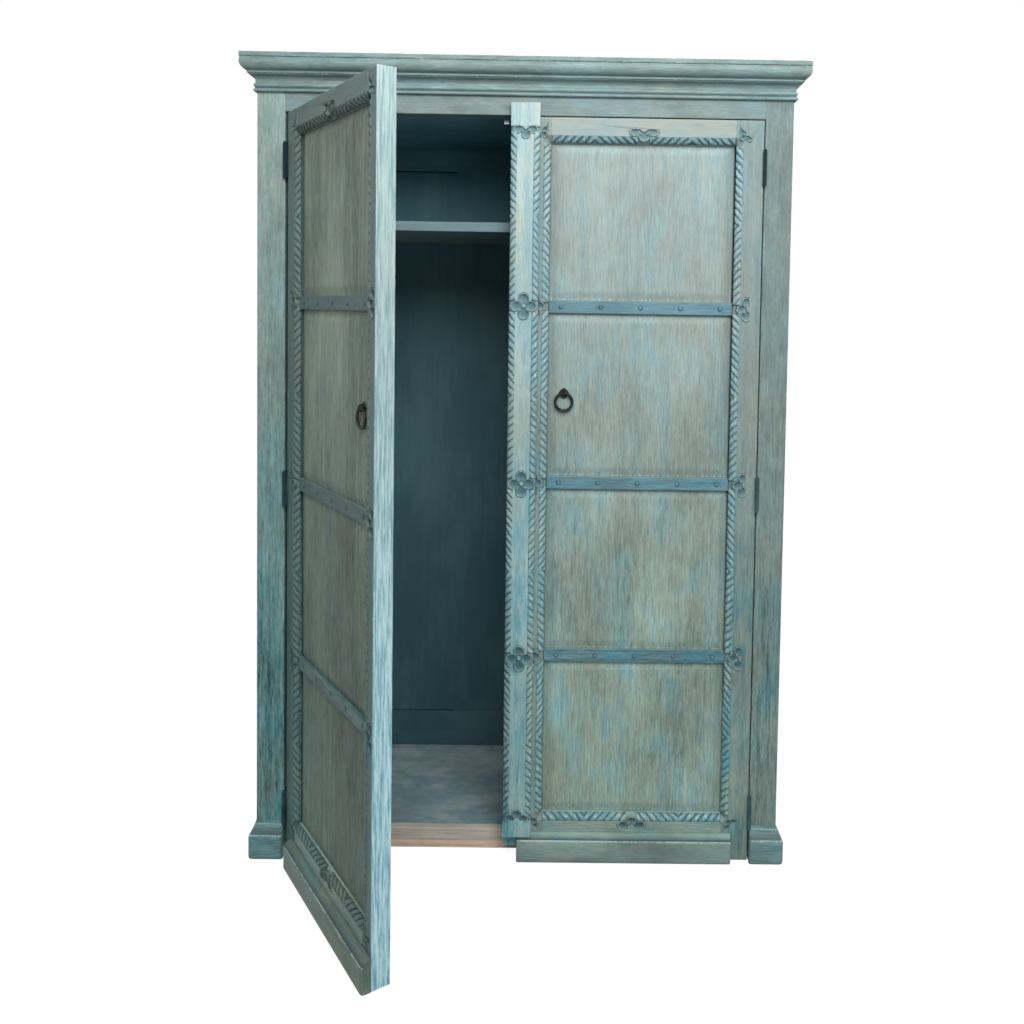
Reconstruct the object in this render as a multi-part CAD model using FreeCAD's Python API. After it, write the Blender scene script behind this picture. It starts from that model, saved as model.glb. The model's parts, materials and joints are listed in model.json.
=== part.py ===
import FreeCAD, Part
import math
import os

V = FreeCAD.Vector
os.makedirs("parts", exist_ok=True)

# Case: a free-standing cabinet, X to the right, Y to the back, Z up, origin on the floor at its centre
case_width = 1380.0
case_depth = 534.0
case_height = 2070.0
post_width = 72.0
post_depth = 60.0
frieze_height = 110.0
frieze_thickness = 40.0

# Cornice
cornice_overlap = 62.0
cornice_height = 94.0
cornice_projection = 36.0

# Plinth blocks round the front posts
block_height = 98.0
block_projection = 16.0
block_length = 96.0

# Sides, back and top
side_rail_thickness = 20.0
side_top_rail_height = 180.0
side_bottom_rail_bottom = 21.0
side_bottom_rail_height = 120.0
side_panel_thickness = 14.0
side_panel_inset = 5.0
back_thickness = 18.0
back_board_shares = (0.0, 0.315, 0.57, 0.77, 1.0)
back_bottom_rail_height = 145.0
back_top_rail_height = 180.0
dust_top_thickness = 18.0
dust_top_shares = (0.0, 0.28, 0.53, 0.76, 1.0)

# Inside boards
ceiling_drop = 3.0
ceiling_thickness = 15.0
floor_top = 55.0
floor_thickness = 12.0
inside_front = 46.0
bottom_rail_seam = 21.0
bottom_rail_thickness = 22.0
bottom_rail_clearance = 1.0
bearer_width = 46.0
upper_compartment_height = 268.0
shelf_thickness = 25.0
cleat_height = 28.0
cleat_width = 26.0
fit_clearance = 0.5

# Door leaves: framed, with four fielded panels each
door_gap = 3.0
door_thickness = 44.0
door_floor_gap = 3.0
hinge_stile_width = 72.0
right_meeting_stile_width = 66.0
left_meeting_stile_width = 50.0
top_rail_height = 65.0
bottom_rail_height = 122.0
cross_rail_height = 32.0
cross_rail_shares = (0.761, 0.5, 0.2395)
left_door_rest_angle = 56.0
astragal_width = 74.5
meeting_clearance = 3.0

# Section through the door frame, depths from the front face
rope_band = 19.0
rope_band_depth = 14.0
rope_bulge = 4.5
panel_field_depth = 14.0
panel_border_depth = 18.0
panel_border_width = 20.0
panel_field_slope = 8.0
tongue_depth = 20.0
tongue_thickness = 10.0
tongue_length = 8.0
cross_rail_depth = 12.0
strap_thickness = 3.0
tenon_length = 30.0
tenon_thickness = 12.0
tenon_shoulder = 12.0

# Nails on the straps
nail_count = 5
nail_radius = 5.5
nail_dome = 2.6
nail_margin = 31.0
nail_sides = 8
dome_shares = ((1.0, 0.0), (0.82, 0.6), (0.4, 1.0))

# Quatrefoil rosettes
lobe_offset = 18.5
lobe_radius = 17.0
rosette_rim = 3.0
rosette_rise = 2.5
rosette_recess = 1.6
rosette_flat = 5.0
lobe_sides = 5
rosette_clearance = 0.5
rosette_boss_radius = 8.5
rosette_boss_rise = 4.2
corner_rosette_scale = 0.7
corner_rosette_setback = 13.0

# Plinth moulding across the foot of each leaf
moulding_height = 74.0
moulding_projection = 24.5
moulding_round_height = 21.0
moulding_hinge_stop = 48.0
moulding_crown_share = 0.74

# Astragal on the right leaf
astragal_thickness = 20.0
astragal_rise = 32.0
astragal_lap = 7.0
astragal_rope_band = 16.0
astragal_rope_depth = 8.0
astragal_rope_bulge = 4.0
astragal_plain_top = 60.0
astragal_plain_foot = 43.0
astragal_relief = 1.0
stem_width = 35.0
stem_start = 34.0

# Hinges
hinge_height_shares = (0.9375, 0.5025, 0.0675)
hinge_length = 90.0
knuckle_radius = 5.0
knuckle_stand_off = 7.5
knuckle_gap = 0.3
knuckle_sides = 8
hinge_pin_radius = 2.5
hinge_running_clearance = 0.05
leaf_plate_thickness = 1.3
leaf_plate_depth = 28.0
pin_head_height = 3.0
pin_head_radius = 3.6

# Ring pulls
ring_from_opening_edge = 42.0
ring_height_share = 0.51
ring_outer_diameter = 53.0
ring_wire = 8.5
ring_wire_sides = 8
ring_bends = 24
ring_running_clearance = 0.4
staple_wire = 4.0
staple_bends = 6
plate_size = 33.0
plate_thickness = 2.0
plate_corner_radius = 5.0

# Catch under the ceiling
catch_width = 13.0
catch_depth = 12.0
catch_height = 10.0
catch_from_centre = 59.0
catch_roller_share = 0.7
catch_roller_radius = 3.0

# Shared by every cut and every outline
overrun = 5.0
coincidence = 0.001

front = -case_depth / 2
back = case_depth / 2
half_case = case_width / 2
post_inner = half_case - post_width
inner_back = back - back_thickness
frieze_bottom = case_height - frieze_height
cornice_bottom = case_height - cornice_overlap
back_bottom_rail_top = side_bottom_rail_bottom + back_bottom_rail_height
back_top_rail_bottom = case_height - back_top_rail_height
ceiling_bottom = frieze_bottom - ceiling_drop
shelf_bottom = ceiling_bottom - upper_compartment_height - shelf_thickness
door_bottom = door_floor_gap
door_top = frieze_bottom - door_gap
top_rail_lower_edge = door_top - top_rail_height
bottom_rail_upper_edge = door_bottom + bottom_rail_height
opening_height = top_rail_lower_edge - bottom_rail_upper_edge
cross_rail_heights = [bottom_rail_upper_edge + opening_height * share for share in cross_rail_shares]
moulding_top = door_bottom + moulding_height
astragal_top = door_top + astragal_rise
astragal_bottom = moulding_top - astragal_lap
astragal_rope_top = astragal_top - astragal_plain_top
astragal_rope_bottom = astragal_bottom + astragal_plain_foot
stem_bottom = door_bottom + stem_start
hinge_heights = [door_bottom + (door_top - door_bottom) * share for share in hinge_height_shares]
ring_panel_bottom = cross_rail_heights[1] + cross_rail_height / 2
ring_panel_top = cross_rail_heights[0] - cross_rail_height / 2
ring_axis_height = ring_panel_bottom + (ring_panel_top - ring_panel_bottom) * ring_height_share
hinge_axis_x = post_inner - door_gap / 2
hinge_axis_y = front - knuckle_stand_off
ring_radius = (ring_outer_diameter - ring_wire) / 2
staple_hole = ring_wire / 2 + ring_running_clearance
staple_centre_rise = staple_hole + ring_running_clearance / 2
rosette_setback = lobe_offset + lobe_radius + rosette_clearance - rope_band


def box(x0, x1, y0, y1, z0, z1):
    """Block between two corners, given in any order along X."""
    low = min(x0, x1)
    return Part.makeBox(abs(x1 - x0), y1 - y0, z1 - z0, V(low, y0, z0))


def wire(points):
    """Closed wire through points; a (through, end) pair of points makes an arc."""
    edges = []
    last = points[0]
    for item in points[1:] + [points[0]]:
        if isinstance(item, tuple):
            edges.append(Part.Arc(last, item[0], item[1]).toShape())
            last = item[1]
        elif not item.isEqual(last, coincidence):
            edges.append(Part.LineSegment(last, item).toShape())
            last = item
    return Part.Wire(edges)


def prism(points, direction):
    """Solid swept straight from a flat outline."""
    return Part.Face(wire(points)).extrude(direction)


def lobe(centre, radius, start_angle, end_angle, place):
    """Corners that follow a round lobe from after its start to its end, angles in degrees."""
    points = []
    for index in range(lobe_sides):
        angle = math.radians(start_angle + (end_angle - start_angle) * (index + 1) / lobe_sides)
        points.append(place(centre[0] + radius * math.cos(angle), centre[1] + radius * math.sin(angle)))
    return points


def regular_outline(sides, radius, place):
    """Corners of a regular outline, with flats square to its own axes."""
    angles = [math.tau * (index + 1 / 2) / sides for index in range(sides)]
    return [place(radius * math.cos(angle), radius * math.sin(angle)) for angle in angles]


def domed_button(x, seat, z, radius, rise):
    """Low eight-sided dome standing forwards on a flat seat."""
    rings = []
    for radius_share, rise_share in dome_shares:
        rings.append(wire(regular_outline(nail_sides, radius * radius_share, lambda u, v: V(
            x + u, seat - rise * rise_share, z + v))))
    return Part.makeLoft(rings, True, True)


def save(name, *solids):
    """Write one node from one or more separate solids."""
    shape = solids[0] if len(solids) == 1 else Part.makeCompound(list(solids))
    shape.exportStep("parts/" + name + ".step")


def bulged_section(place, start, end, bulge):
    """Outline of a half-round bead standing on the line from start to end."""
    run_u = end[0] - start[0]
    run_v = end[1] - start[1]
    length = math.hypot(run_u, run_v)
    crown = place((start[0] + end[0]) / 2 + bulge * run_v / length,
                  (start[1] + end[1]) / 2 - bulge * run_u / length)
    return [place(*start), (crown, place(*end))]


# Case


def front_and_rear_posts():
    """Square corner posts from the floor to the top boards."""
    for side, sign in (("left", -1), ("right", 1)):
        outer = sign * half_case
        inner = sign * post_inner
        save(side + "_front_post", box(outer, inner, front, front + post_depth, 0, case_height))
        save(side + "_rear_post", box(outer, inner, back - post_depth, back, 0, case_height))


def cornice_outline(place):
    """Cornice section, from bead and torus through cove and ovolo to the top band."""
    def at(out_share, up_share):
        return place(cornice_projection * out_share, cornice_height * up_share)
    return [
        at(0.0, 0.0), at(0.14, 0.0), (at(0.23, 0.045), at(0.14, 0.09)), at(0.10, 0.09),
        at(0.10, 0.12), (at(0.20, 0.18), at(0.10, 0.24)), at(0.10, 0.26), (at(0.19, 0.385), at(0.50, 0.44)),
        at(0.50, 0.47), at(0.57, 0.47), at(0.57, 0.54), (at(0.87, 0.61), at(0.98, 0.80)), at(0.98, 0.855),
        at(0.94, 0.865), at(1.0, 0.88), at(1.0, 1.0), at(0.0, 1.0),
    ]


def cornices():
    """Front cornice and two returns, mitred at the front corners."""
    reach = half_case + cornice_projection
    tip = front - cornice_projection
    low = cornice_bottom - overrun
    tall = cornice_height + 2 * overrun
    front_run = prism(cornice_outline(lambda out, up: V(-reach, front - out, cornice_bottom + up)),
                      V(2 * reach, 0, 0))
    front_wedge = prism([V(-reach, tip, low), V(reach, tip, low), V(0, front + half_case, low)],
                        V(0, 0, tall))
    save("cornice_front", front_run.common(front_wedge))
    for side, sign in (("left", -1), ("right", 1)):
        run = prism(cornice_outline(lambda out, up: V(sign * (half_case + out), tip, cornice_bottom + up)),
                    V(0, back - tip, 0))
        wedge = prism([V(sign * reach, tip, low), V(sign * reach, back, low), V(0, back, low),
                       V(0, front + half_case, low)], V(0, 0, tall))
        save("cornice_" + side + "_return", run.common(wedge))


def block_outline(place):
    """Plinth block section: a raking face under a small fillet and a cove."""
    def at(out_share, up_share):
        return place(block_projection * out_share, block_height * up_share)
    return [at(0.0, 0.0), at(1.0, 0.0), at(0.60, 0.695), at(0.52, 0.695), at(0.52, 0.73),
            (at(0.20, 0.835), at(0.0, 1.0))]


def plinth_blocks():
    """Blocks that wrap the front and outer side of each front post."""
    for side, sign in (("left", -1), ("right", 1)):
        reach = sign * (half_case + block_projection)
        nose = front - block_projection
        front_run = prism(block_outline(lambda out, up: V(reach, front - out, up)),
                          V(sign * post_inner - reach, 0, 0))
        side_run = prism(block_outline(lambda out, up: V(sign * (half_case + out), nose, up)),
                         V(0, block_length, 0))
        front_wedge = prism([V(reach, nose, 0), V(0, nose, 0), V(0, front + half_case, 0)],
                            V(0, 0, block_height))
        side_wedge = prism([V(reach, nose, 0), V(reach, nose + block_length, 0),
                            V(sign * half_case, nose + block_length, 0), V(sign * half_case, front, 0)],
                           V(0, 0, block_height))
        block = front_run.common(front_wedge).fuse(side_run.common(side_wedge)).removeSplitter()
        save(side + "_plinth_block", block)


def frieze():
    """Rail between the front posts, over the doors."""
    save("frieze_rail", box(-post_inner, post_inner, front, front + frieze_thickness,
                            frieze_bottom, case_height))


def sides():
    """Framed sides: a thin panel between posts and two rails."""
    run_start = front + post_depth
    run_end = back - post_depth
    top_rail_bottom = case_height - side_top_rail_height
    bottom_rail_top = side_bottom_rail_bottom + side_bottom_rail_height
    rails = []
    for side, sign in (("left", -1), ("right", 1)):
        outer = sign * half_case
        rail_inner = sign * (half_case - side_rail_thickness)
        rails.append(box(outer, rail_inner, run_start, run_end, top_rail_bottom, case_height))
        rails.append(box(outer, rail_inner, run_start, run_end, side_bottom_rail_bottom, bottom_rail_top))
        panel_outer = half_case - side_panel_inset
        panel = box(sign * panel_outer, sign * (panel_outer - side_panel_thickness),
                    run_start, run_end, bottom_rail_top, top_rail_bottom)
        save(side + "_side_panel", panel)
    save("side_rails", *rails)


def backs():
    """Upright back boards between a deep foot rail and a top rail."""
    span = 2 * post_inner
    boards = []
    for start, end in zip(back_board_shares, back_board_shares[1:]):
        boards.append(box(-post_inner + span * start, -post_inner + span * end, inner_back, back,
                          back_bottom_rail_top, back_top_rail_bottom))
    save("back_boards", *boards)
    save("back_bottom_rail", box(-post_inner, post_inner, inner_back, back,
                                 side_bottom_rail_bottom, back_bottom_rail_top))
    save("back_top_rail", box(-post_inner, post_inner, inner_back, back,
                              back_top_rail_bottom, case_height))


def dust_top():
    """Boards that close the top, inside the cornice."""
    boards = []
    for start, end in zip(dust_top_shares, dust_top_shares[1:]):
        boards.append(box(-half_case, half_case, front + case_depth * start, front + case_depth * end,
                          case_height, case_height + dust_top_thickness))
    save("dust_top", *boards)


def inside_board(front_edge, side_reach, bottom, thickness):
    """Board notched round the four posts, reaching the sides between them."""
    main = box(-post_inner, post_inner, front_edge, inner_back, bottom, bottom + thickness)
    between = box(-side_reach, side_reach, max(front_edge, front + post_depth), back - post_depth,
                  bottom, bottom + thickness)
    return main.fuse(between).removeSplitter()


def inside_boards():
    """Ceiling, shelf with its cleats, floor with its bearers and bare front rails."""
    panel_inner = half_case - side_panel_inset - side_panel_thickness
    rail_inner = half_case - side_rail_thickness
    run_start = front + post_depth
    run_end = back - post_depth
    save("ceiling_board", inside_board(front + frieze_thickness, rail_inner, ceiling_bottom,
                                       ceiling_thickness))
    save("shelf", inside_board(front + inside_front, panel_inner, shelf_bottom, shelf_thickness))
    cleats = []
    for sign in (-1, 1):
        cleats.append(box(sign * panel_inner, sign * (panel_inner - cleat_width), run_start, run_end,
                          shelf_bottom - cleat_height, shelf_bottom))
    save("shelf_cleats", *cleats)
    rail_back = front + inside_front + bottom_rail_thickness
    floor_bottom = floor_top - floor_thickness
    save("floor_board", inside_board(rail_back, rail_inner, floor_bottom, floor_thickness))
    rail_front = front + inside_front
    save("bottom_rail_upper", box(-post_inner, post_inner, rail_front, rail_back,
                                  bottom_rail_seam, floor_top))
    save("bottom_rail_lower", box(-post_inner, post_inner, rail_front, rail_back,
                                  bottom_rail_clearance, bottom_rail_seam))
    bearers = [box(-bearer_width / 2, bearer_width / 2, rail_back, inner_back, 0, floor_bottom)]
    for sign in (-1, 1):
        bearers.append(box(sign * rail_inner, sign * (rail_inner - bearer_width), run_start, run_end,
                           0, floor_bottom))
    save("floor_bearers", *bearers)


def door_catch():
    """Small roller catch under the ceiling, for the left leaf."""
    catch_front = front + inside_front
    x0 = -catch_from_centre
    body = box(x0, x0 + catch_width, catch_front + catch_roller_radius, catch_front + catch_depth,
               ceiling_bottom - catch_height, ceiling_bottom)
    roller_width = catch_width * catch_roller_share
    roller = Part.makeCylinder(catch_roller_radius, roller_width,
                               V(x0 + (catch_width - roller_width) / 2, catch_front + catch_roller_radius,
                                 ceiling_bottom - catch_height / 2), V(1, 0, 0))
    save("door_catch", body.fuse(roller))


# Door leaves


class Leaf:
    """One door leaf, built closed; distances run from its hinge edge towards the meeting edge."""

    def __init__(self, name, sign, meeting_edge, meeting_stile_width, rest_angle):
        self.name = name
        self.sign = sign
        self.hinge_edge = sign * (post_inner - door_gap)
        self.width = abs(self.hinge_edge - meeting_edge)
        self.meeting_stile_width = meeting_stile_width
        self.opening_end = self.width - meeting_stile_width
        self.rest_angle = rest_angle

    def x(self, along):
        """Closed X position of a distance from the hinge edge."""
        return self.hinge_edge - self.sign * along

    def block(self, a0, a1, d0, d1, z0, z1):
        """Block between two distances, two depths behind the face and two heights."""
        return box(self.x(a0), self.x(a1), front + d0, front + d1, z0, z1)

    def save(self, name, *solids):
        """Turn finished solids to the rest angle and write them."""
        axis_foot = V(self.sign * hinge_axis_x, hinge_axis_y, 0)
        for solid in solids:
            solid.rotate(axis_foot, V(0, 0, 1), self.sign * self.rest_angle)
        save(self.name + "_" + name, *solids)


def opening_sides(leaf):
    """Distances of the two sides of the opening inside the door frame."""
    return hinge_stile_width, leaf.opening_end


def frame_opening_edges(leaf):
    """Distances and heights of the opening inside the door frame."""
    return *opening_sides(leaf), bottom_rail_upper_edge, top_rail_lower_edge


def sunk_frame(leaf):
    """The door frame as one ring, with the sloping band for the rope and the panel groove."""
    a0, a1, z0, z1 = frame_opening_edges(leaf)
    ring = leaf.block(0, leaf.width, 0, door_thickness, door_bottom, door_top)
    ring = ring.cut(leaf.block(a0, a1, -overrun, door_thickness + overrun, z0, z1))
    face = wire([V(leaf.x(a), front, z) for a, z in (
        (a0 - rope_band, z0 - rope_band), (a1 + rope_band, z0 - rope_band),
        (a1 + rope_band, z1 + rope_band), (a0 - rope_band, z1 + rope_band))])
    foot = wire([V(leaf.x(a), front + rope_band_depth, z) for a, z in (
        (a0, z0), (a1, z0), (a1, z1), (a0, z1))])
    ring = ring.cut(Part.makeLoft([face, foot], True, True))
    reach = tongue_length + fit_clearance
    groove = leaf.block(a0 - reach, a1 + reach, tongue_depth, tongue_depth + tongue_thickness,
                        z0 - reach, z1 + reach)
    return ring.cut(groove)


def tenon(leaf, a0, a1, bottom, top):
    """Tongue of a rail that enters a stile."""
    start = tongue_depth + tongue_thickness - tenon_thickness
    return leaf.block(a0, a1, start, start + tenon_thickness, bottom, top)


def door_frame(leaf):
    """Stiles, rails with tenons, and cross rails between the panels."""
    ring = sunk_frame(leaf)
    a0, a1, z0, z1 = frame_opening_edges(leaf)
    hinge_stile = ring.common(leaf.block(0, a0, 0, door_thickness, door_bottom, door_top))
    meeting_stile = ring.common(leaf.block(a1, leaf.width, 0, door_thickness, door_bottom, door_top))
    rails = []
    for low, high, tenon_low, tenon_high in (
            (z1, door_top, z1 + rope_band, door_top - tenon_shoulder),
            (door_bottom, z0, door_bottom + tenon_shoulder, z0 - rope_band)):
        rail = ring.common(leaf.block(a0, a1, 0, door_thickness, low, high))
        for start, end in ((a0 - tenon_length, a0), (a1, a1 + tenon_length)):
            tongue = tenon(leaf, start, end, tenon_low, tenon_high)
            rail = rail.fuse(tongue)
            hinge_stile = hinge_stile.cut(tongue)
            meeting_stile = meeting_stile.cut(tongue)
        rails.append(rail.removeSplitter())
    leaf.save("hinge_stile", hinge_stile)
    leaf.save("meeting_stile", meeting_stile)
    leaf.save("top_rail", rails[0])
    leaf.save("bottom_rail", rails[1])
    return ring


def panel_edges():
    """Bottom and top of each panel opening, from the lowest up."""
    edges = [bottom_rail_upper_edge]
    for height in sorted(cross_rail_heights):
        edges += [height - cross_rail_height / 2, height + cross_rail_height / 2]
    edges.append(top_rail_lower_edge)
    return list(zip(edges[::2], edges[1::2]))


def cross_rails(leaf):
    """Three cross rails grooved for the panels, with tongues in the stile grooves."""
    a0, a1 = opening_sides(leaf)
    rails = []
    for height in cross_rail_heights:
        low = height - cross_rail_height / 2
        high = height + cross_rail_height / 2
        rail = leaf.block(a0, a1, cross_rail_depth, door_thickness, low, high)
        groove_end = tongue_depth + tongue_thickness
        reach = tongue_length + fit_clearance
        for edge_low, edge_high in ((low - overrun, low + reach), (high - reach, high + overrun)):
            rail = rail.cut(leaf.block(a0 - overrun, a1 + overrun, tongue_depth, groove_end,
                                       edge_low, edge_high))
        tongue = leaf.block(a0 - tongue_length, a1 + tongue_length, tongue_depth, groove_end,
                            low + reach, high - reach)
        rails.append(rail.fuse(tongue).removeSplitter())
    leaf.save("cross_rails", *rails)


def fielded_panel(leaf, low, high):
    """Panel with a flat field, sloping borders and a thin tongue all round."""
    a0, a1 = opening_sides(leaf)
    back_face = tongue_depth + tongue_thickness
    body = leaf.block(a0, a1, panel_border_depth, back_face, low, high)
    tongue = leaf.block(a0 - tongue_length, a1 + tongue_length, tongue_depth, back_face,
                        low - tongue_length, high + tongue_length)
    inset_top = panel_border_width + panel_field_slope

    def rim(depth, inset):
        return wire([V(leaf.x(a), front + depth, z) for a, z in (
            (a0 + inset, low + inset), (a1 - inset, low + inset),
            (a1 - inset, high - inset), (a0 + inset, high - inset))])
    field = Part.makeLoft([rim(panel_border_depth, panel_border_width), rim(panel_field_depth, inset_top)],
                          True, True)
    return body.fuse(tongue).fuse(field).removeSplitter()


def panels_and_straps(leaf):
    """Four panels, three straps over the cross rails and five domed nails in each."""
    a0, a1 = opening_sides(leaf)
    leaf.save("panels", *[fielded_panel(leaf, low, high) for low, high in panel_edges()])
    straps = []
    nails = []
    strap_depth = cross_rail_depth - strap_thickness
    for height in cross_rail_heights:
        half = cross_rail_height / 2
        straps.append(leaf.block(a0, a1, strap_depth, cross_rail_depth, height - half, height + half))
        pitch = (a1 - a0 - 2 * nail_margin) / (nail_count - 1)
        for index in range(nail_count):
            nails.append(domed_button(leaf.x(a0 + nail_margin + pitch * index), front + strap_depth,
                                      height, nail_radius, nail_dome))
    leaf.save("straps", *straps)
    leaf.save("strap_nails", *nails)


# Quatrefoils


def notch_distance(offset, radius):
    """Distance from a quatrefoil's centre to the notch between two lobes."""
    along = offset / math.sqrt(2)
    return along + math.sqrt(radius ** 2 - along ** 2)


def notch_angle(offset, radius):
    """Angle at a lobe's centre between its outward line and its notch, in degrees."""
    reach = notch_distance(offset, radius) / math.sqrt(2)
    return math.degrees(math.atan2(reach, reach - offset))


def quatrefoil(place, offset, radius):
    """Full outline of four lobes."""
    spread = notch_angle(offset, radius)
    points = []
    for turn in (0, 90, 180, 270):
        aim = math.radians(turn)
        centre = (offset * math.cos(aim), offset * math.sin(aim))
        points += lobe(centre, radius, turn - spread, turn + spread, place)
    return points


def half_quatrefoil(place, offset, radius, flat):
    """Outline of three lobes pointing left, down and right, cut flat above the centre."""
    spread = notch_angle(offset, radius)
    rise = math.degrees(math.asin(flat / radius))
    start = math.radians(180 - rise)
    points = [place(-offset + radius * math.cos(start), radius * math.sin(start))]
    points += lobe((-offset, 0), radius, 180 - rise, 180 + spread, place)
    points += lobe((0, -offset), radius, 270 - spread, 270 + spread, place)
    points += lobe((offset, 0), radius, 360 - spread, 360 + rise, place)
    return points


def rosette(outline, centre_x, centre_z, turn, scale, face_y, depth):
    """Prism of a rosette from its raised rim back to a depth, and its hollow."""
    angle = math.radians(turn)

    def place_at(y):
        def place(u, v):
            return V(centre_x + u * math.cos(angle) - v * math.sin(angle), y,
                     centre_z + u * math.sin(angle) + v * math.cos(angle))
        return place
    top = face_y - rosette_rise
    full = prism(outline(place_at(top), lobe_offset * scale, lobe_radius * scale, 0),
                 V(0, rosette_rise + depth, 0))
    hollow = prism(outline(place_at(top), lobe_offset * scale, (lobe_radius - rosette_rim) * scale,
                           rosette_rim * scale), V(0, rosette_recess, 0))
    return full, hollow


def full_outline(place, offset, radius, inset):
    """Full quatrefoil outline; the inset is already in the radius."""
    return quatrefoil(place, offset, radius)


def half_outline(place, offset, radius, inset):
    """Half quatrefoil outline, its flat side drawn in by the inset."""
    return half_quatrefoil(place, offset, radius, rosette_flat - inset)


def frame_rosettes(leaf):
    """Places of the half rosettes round the rope frame: distance, height, turn and scale."""
    a0, a1, z0, z1 = frame_opening_edges(leaf)
    left = a0 - rope_band
    right = a1 + rope_band
    low = z0 - rope_band
    high = z1 + rope_band
    middle = (a0 + a1) / 2
    toward = -leaf.sign
    places = [(middle, high + rosette_setback, 0, 1.0), (middle, low - rosette_setback, 180, 1.0)]
    for height in cross_rail_heights:
        places.append((left - rosette_setback, height, 90 * toward, 1.0))
        places.append((right + rosette_setback, height, -90 * toward, 1.0))
    out = corner_rosette_setback
    places.append((left - out, high + out, 45 * toward, corner_rosette_scale))
    places.append((right + out, high + out, -45 * toward, corner_rosette_scale))
    places.append((left - out, low - out, 135 * toward, corner_rosette_scale))
    places.append((right + out, low - out, -135 * toward, corner_rosette_scale))
    return places


def frame_rope(leaf):
    """Four mitred half-round runs on the sloping band inside the door frame."""
    a0, a1, z0, z1 = frame_opening_edges(leaf)
    middle = (a0 + a1) / 2
    runs = []

    def bead_section(start_a, start_z, step_a, step_z):
        def place(u, v):
            return V(leaf.x(start_a + step_a * u), front + v, start_z + step_z * u)
        return bulged_section(place, (0, 0), (rope_band, rope_band_depth), rope_bulge)
    left, right, low, high = a0 - rope_band, a1 + rope_band, z0 - rope_band, z1 + rope_band
    span_x = leaf.x(right) - leaf.x(left)
    half_span = (right - left) / 2
    depth_start = front - overrun
    depth_run = V(0, rope_band_depth + 2 * overrun, 0)
    for run, wedge in (
            (prism(bead_section(left, low, 1, 0), V(0, 0, high - low)),
             [(left, low), (left, high), (middle, high - half_span), (middle, low + half_span)]),
            (prism(bead_section(right, low, -1, 0), V(0, 0, high - low)),
             [(right, low), (right, high), (middle, high - half_span), (middle, low + half_span)]),
            (prism(bead_section(left, low, 0, 1), V(span_x, 0, 0)),
             [(left, low), (right, low), (middle, low + half_span)]),
            (prism(bead_section(left, high, 0, -1), V(span_x, 0, 0)),
             [(left, high), (right, high), (middle, high - half_span)])):
        corner = prism([V(leaf.x(a), depth_start, z) for a, z in wedge], depth_run)
        runs.append(run.common(corner))
    return runs


def carved_border(leaf, ring, keep_outs):
    """Rope runs and half rosettes, each cut where the other lies."""
    rosettes = []
    ropes = frame_rope(leaf)
    for along, height, turn, scale in frame_rosettes(leaf):
        full, hollow = rosette(half_outline, leaf.x(along), height, turn, scale, front, rope_band_depth)
        ropes = [rope.cut(full) for rope in ropes]
        solid = full.cut(ring).cut(hollow)
        for other in keep_outs:
            solid = solid.cut(other)
        edge = leaf.block(0, leaf.width, -overrun, door_thickness, door_bottom, door_top)
        rosettes += [piece for piece in solid.common(edge).Solids]
    runs = []
    for rope in ropes:
        runs += rope.Solids
    leaf.save("rope_moulding", *runs)
    leaf.save("rosettes", *rosettes)


def moulding_shape(leaf):
    """Foot moulding with a quarter-round top, stopped short of the hinge edge."""
    shoulder = moulding_top - moulding_round_height
    reach = moulding_projection
    outline = [
        V(leaf.x(moulding_hinge_stop), front, door_bottom),
        V(leaf.x(moulding_hinge_stop), front - reach, door_bottom),
        V(leaf.x(moulding_hinge_stop), front - reach, shoulder),
        (V(leaf.x(moulding_hinge_stop), front - reach * moulding_crown_share,
           shoulder + moulding_round_height * moulding_crown_share),
         V(leaf.x(moulding_hinge_stop), front, moulding_top)),
    ]
    return prism(outline, V(leaf.x(leaf.width) - leaf.x(moulding_hinge_stop), 0, 0))


def staple_shape(x, plate_front, axis_y):
    """Bent bar round the top of the ring, its two legs ending on the plate."""
    low_x = x - staple_wire / 2

    def at(forward, rise):
        return V(low_x, axis_y - forward, ring_axis_height + rise)

    def bend(reach, way):
        angles = [math.pi * step / staple_bends for step in range(staple_bends + 1)]
        return [at(reach * math.sin(angle), way * reach * math.cos(angle)) for angle in angles]
    inner = staple_hole
    outer = staple_hole + staple_wire
    seat = axis_y - plate_front
    outline = [at(seat, inner)] + bend(inner, 1) + [at(seat, -inner), at(seat, -outer)]
    outline += bend(outer, -1) + [at(seat, outer)]
    return prism(outline, V(staple_wire, 0, 0))


def plate_shape(x, plate_front):
    """Small diamond plate with blunted corners."""
    half = plate_size / 2
    tangent = plate_corner_radius / math.sqrt(2)
    crown = half - plate_corner_radius * (math.sqrt(2) - 1)
    points = []
    for turn in (0, 90, 180, 270):
        aim = math.radians(turn)
        for out, side in ((half - tangent, -tangent), (crown, 0), (half - tangent, tangent)):
            points.append(V(x + out * math.cos(aim) - side * math.sin(aim), plate_front,
                            ring_axis_height + out * math.sin(aim) + side * math.cos(aim)))
    return prism(points, V(0, plate_thickness, 0))


def ring_shape(centre):
    """Eight-sided bar bent round in short straight facets and closed on itself."""
    sections = []
    for index in range(ring_bends):
        angle = math.tau * index / ring_bends
        sections.append(regular_outline(ring_wire_sides, ring_wire / 2, lambda u, v: V(
            centre.x + (ring_radius + u) * math.cos(angle), centre.y + v,
            centre.z + (ring_radius + u) * math.sin(angle))))
    facets = []
    for section, following in zip(sections, sections[1:] + sections[:1]):
        for side, corner in enumerate(section):
            facets.append(Part.Face(wire([section[side - 1], corner, following[side], following[side - 1]])))
    return Part.makeSolid(Part.makeShell(facets))


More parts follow.
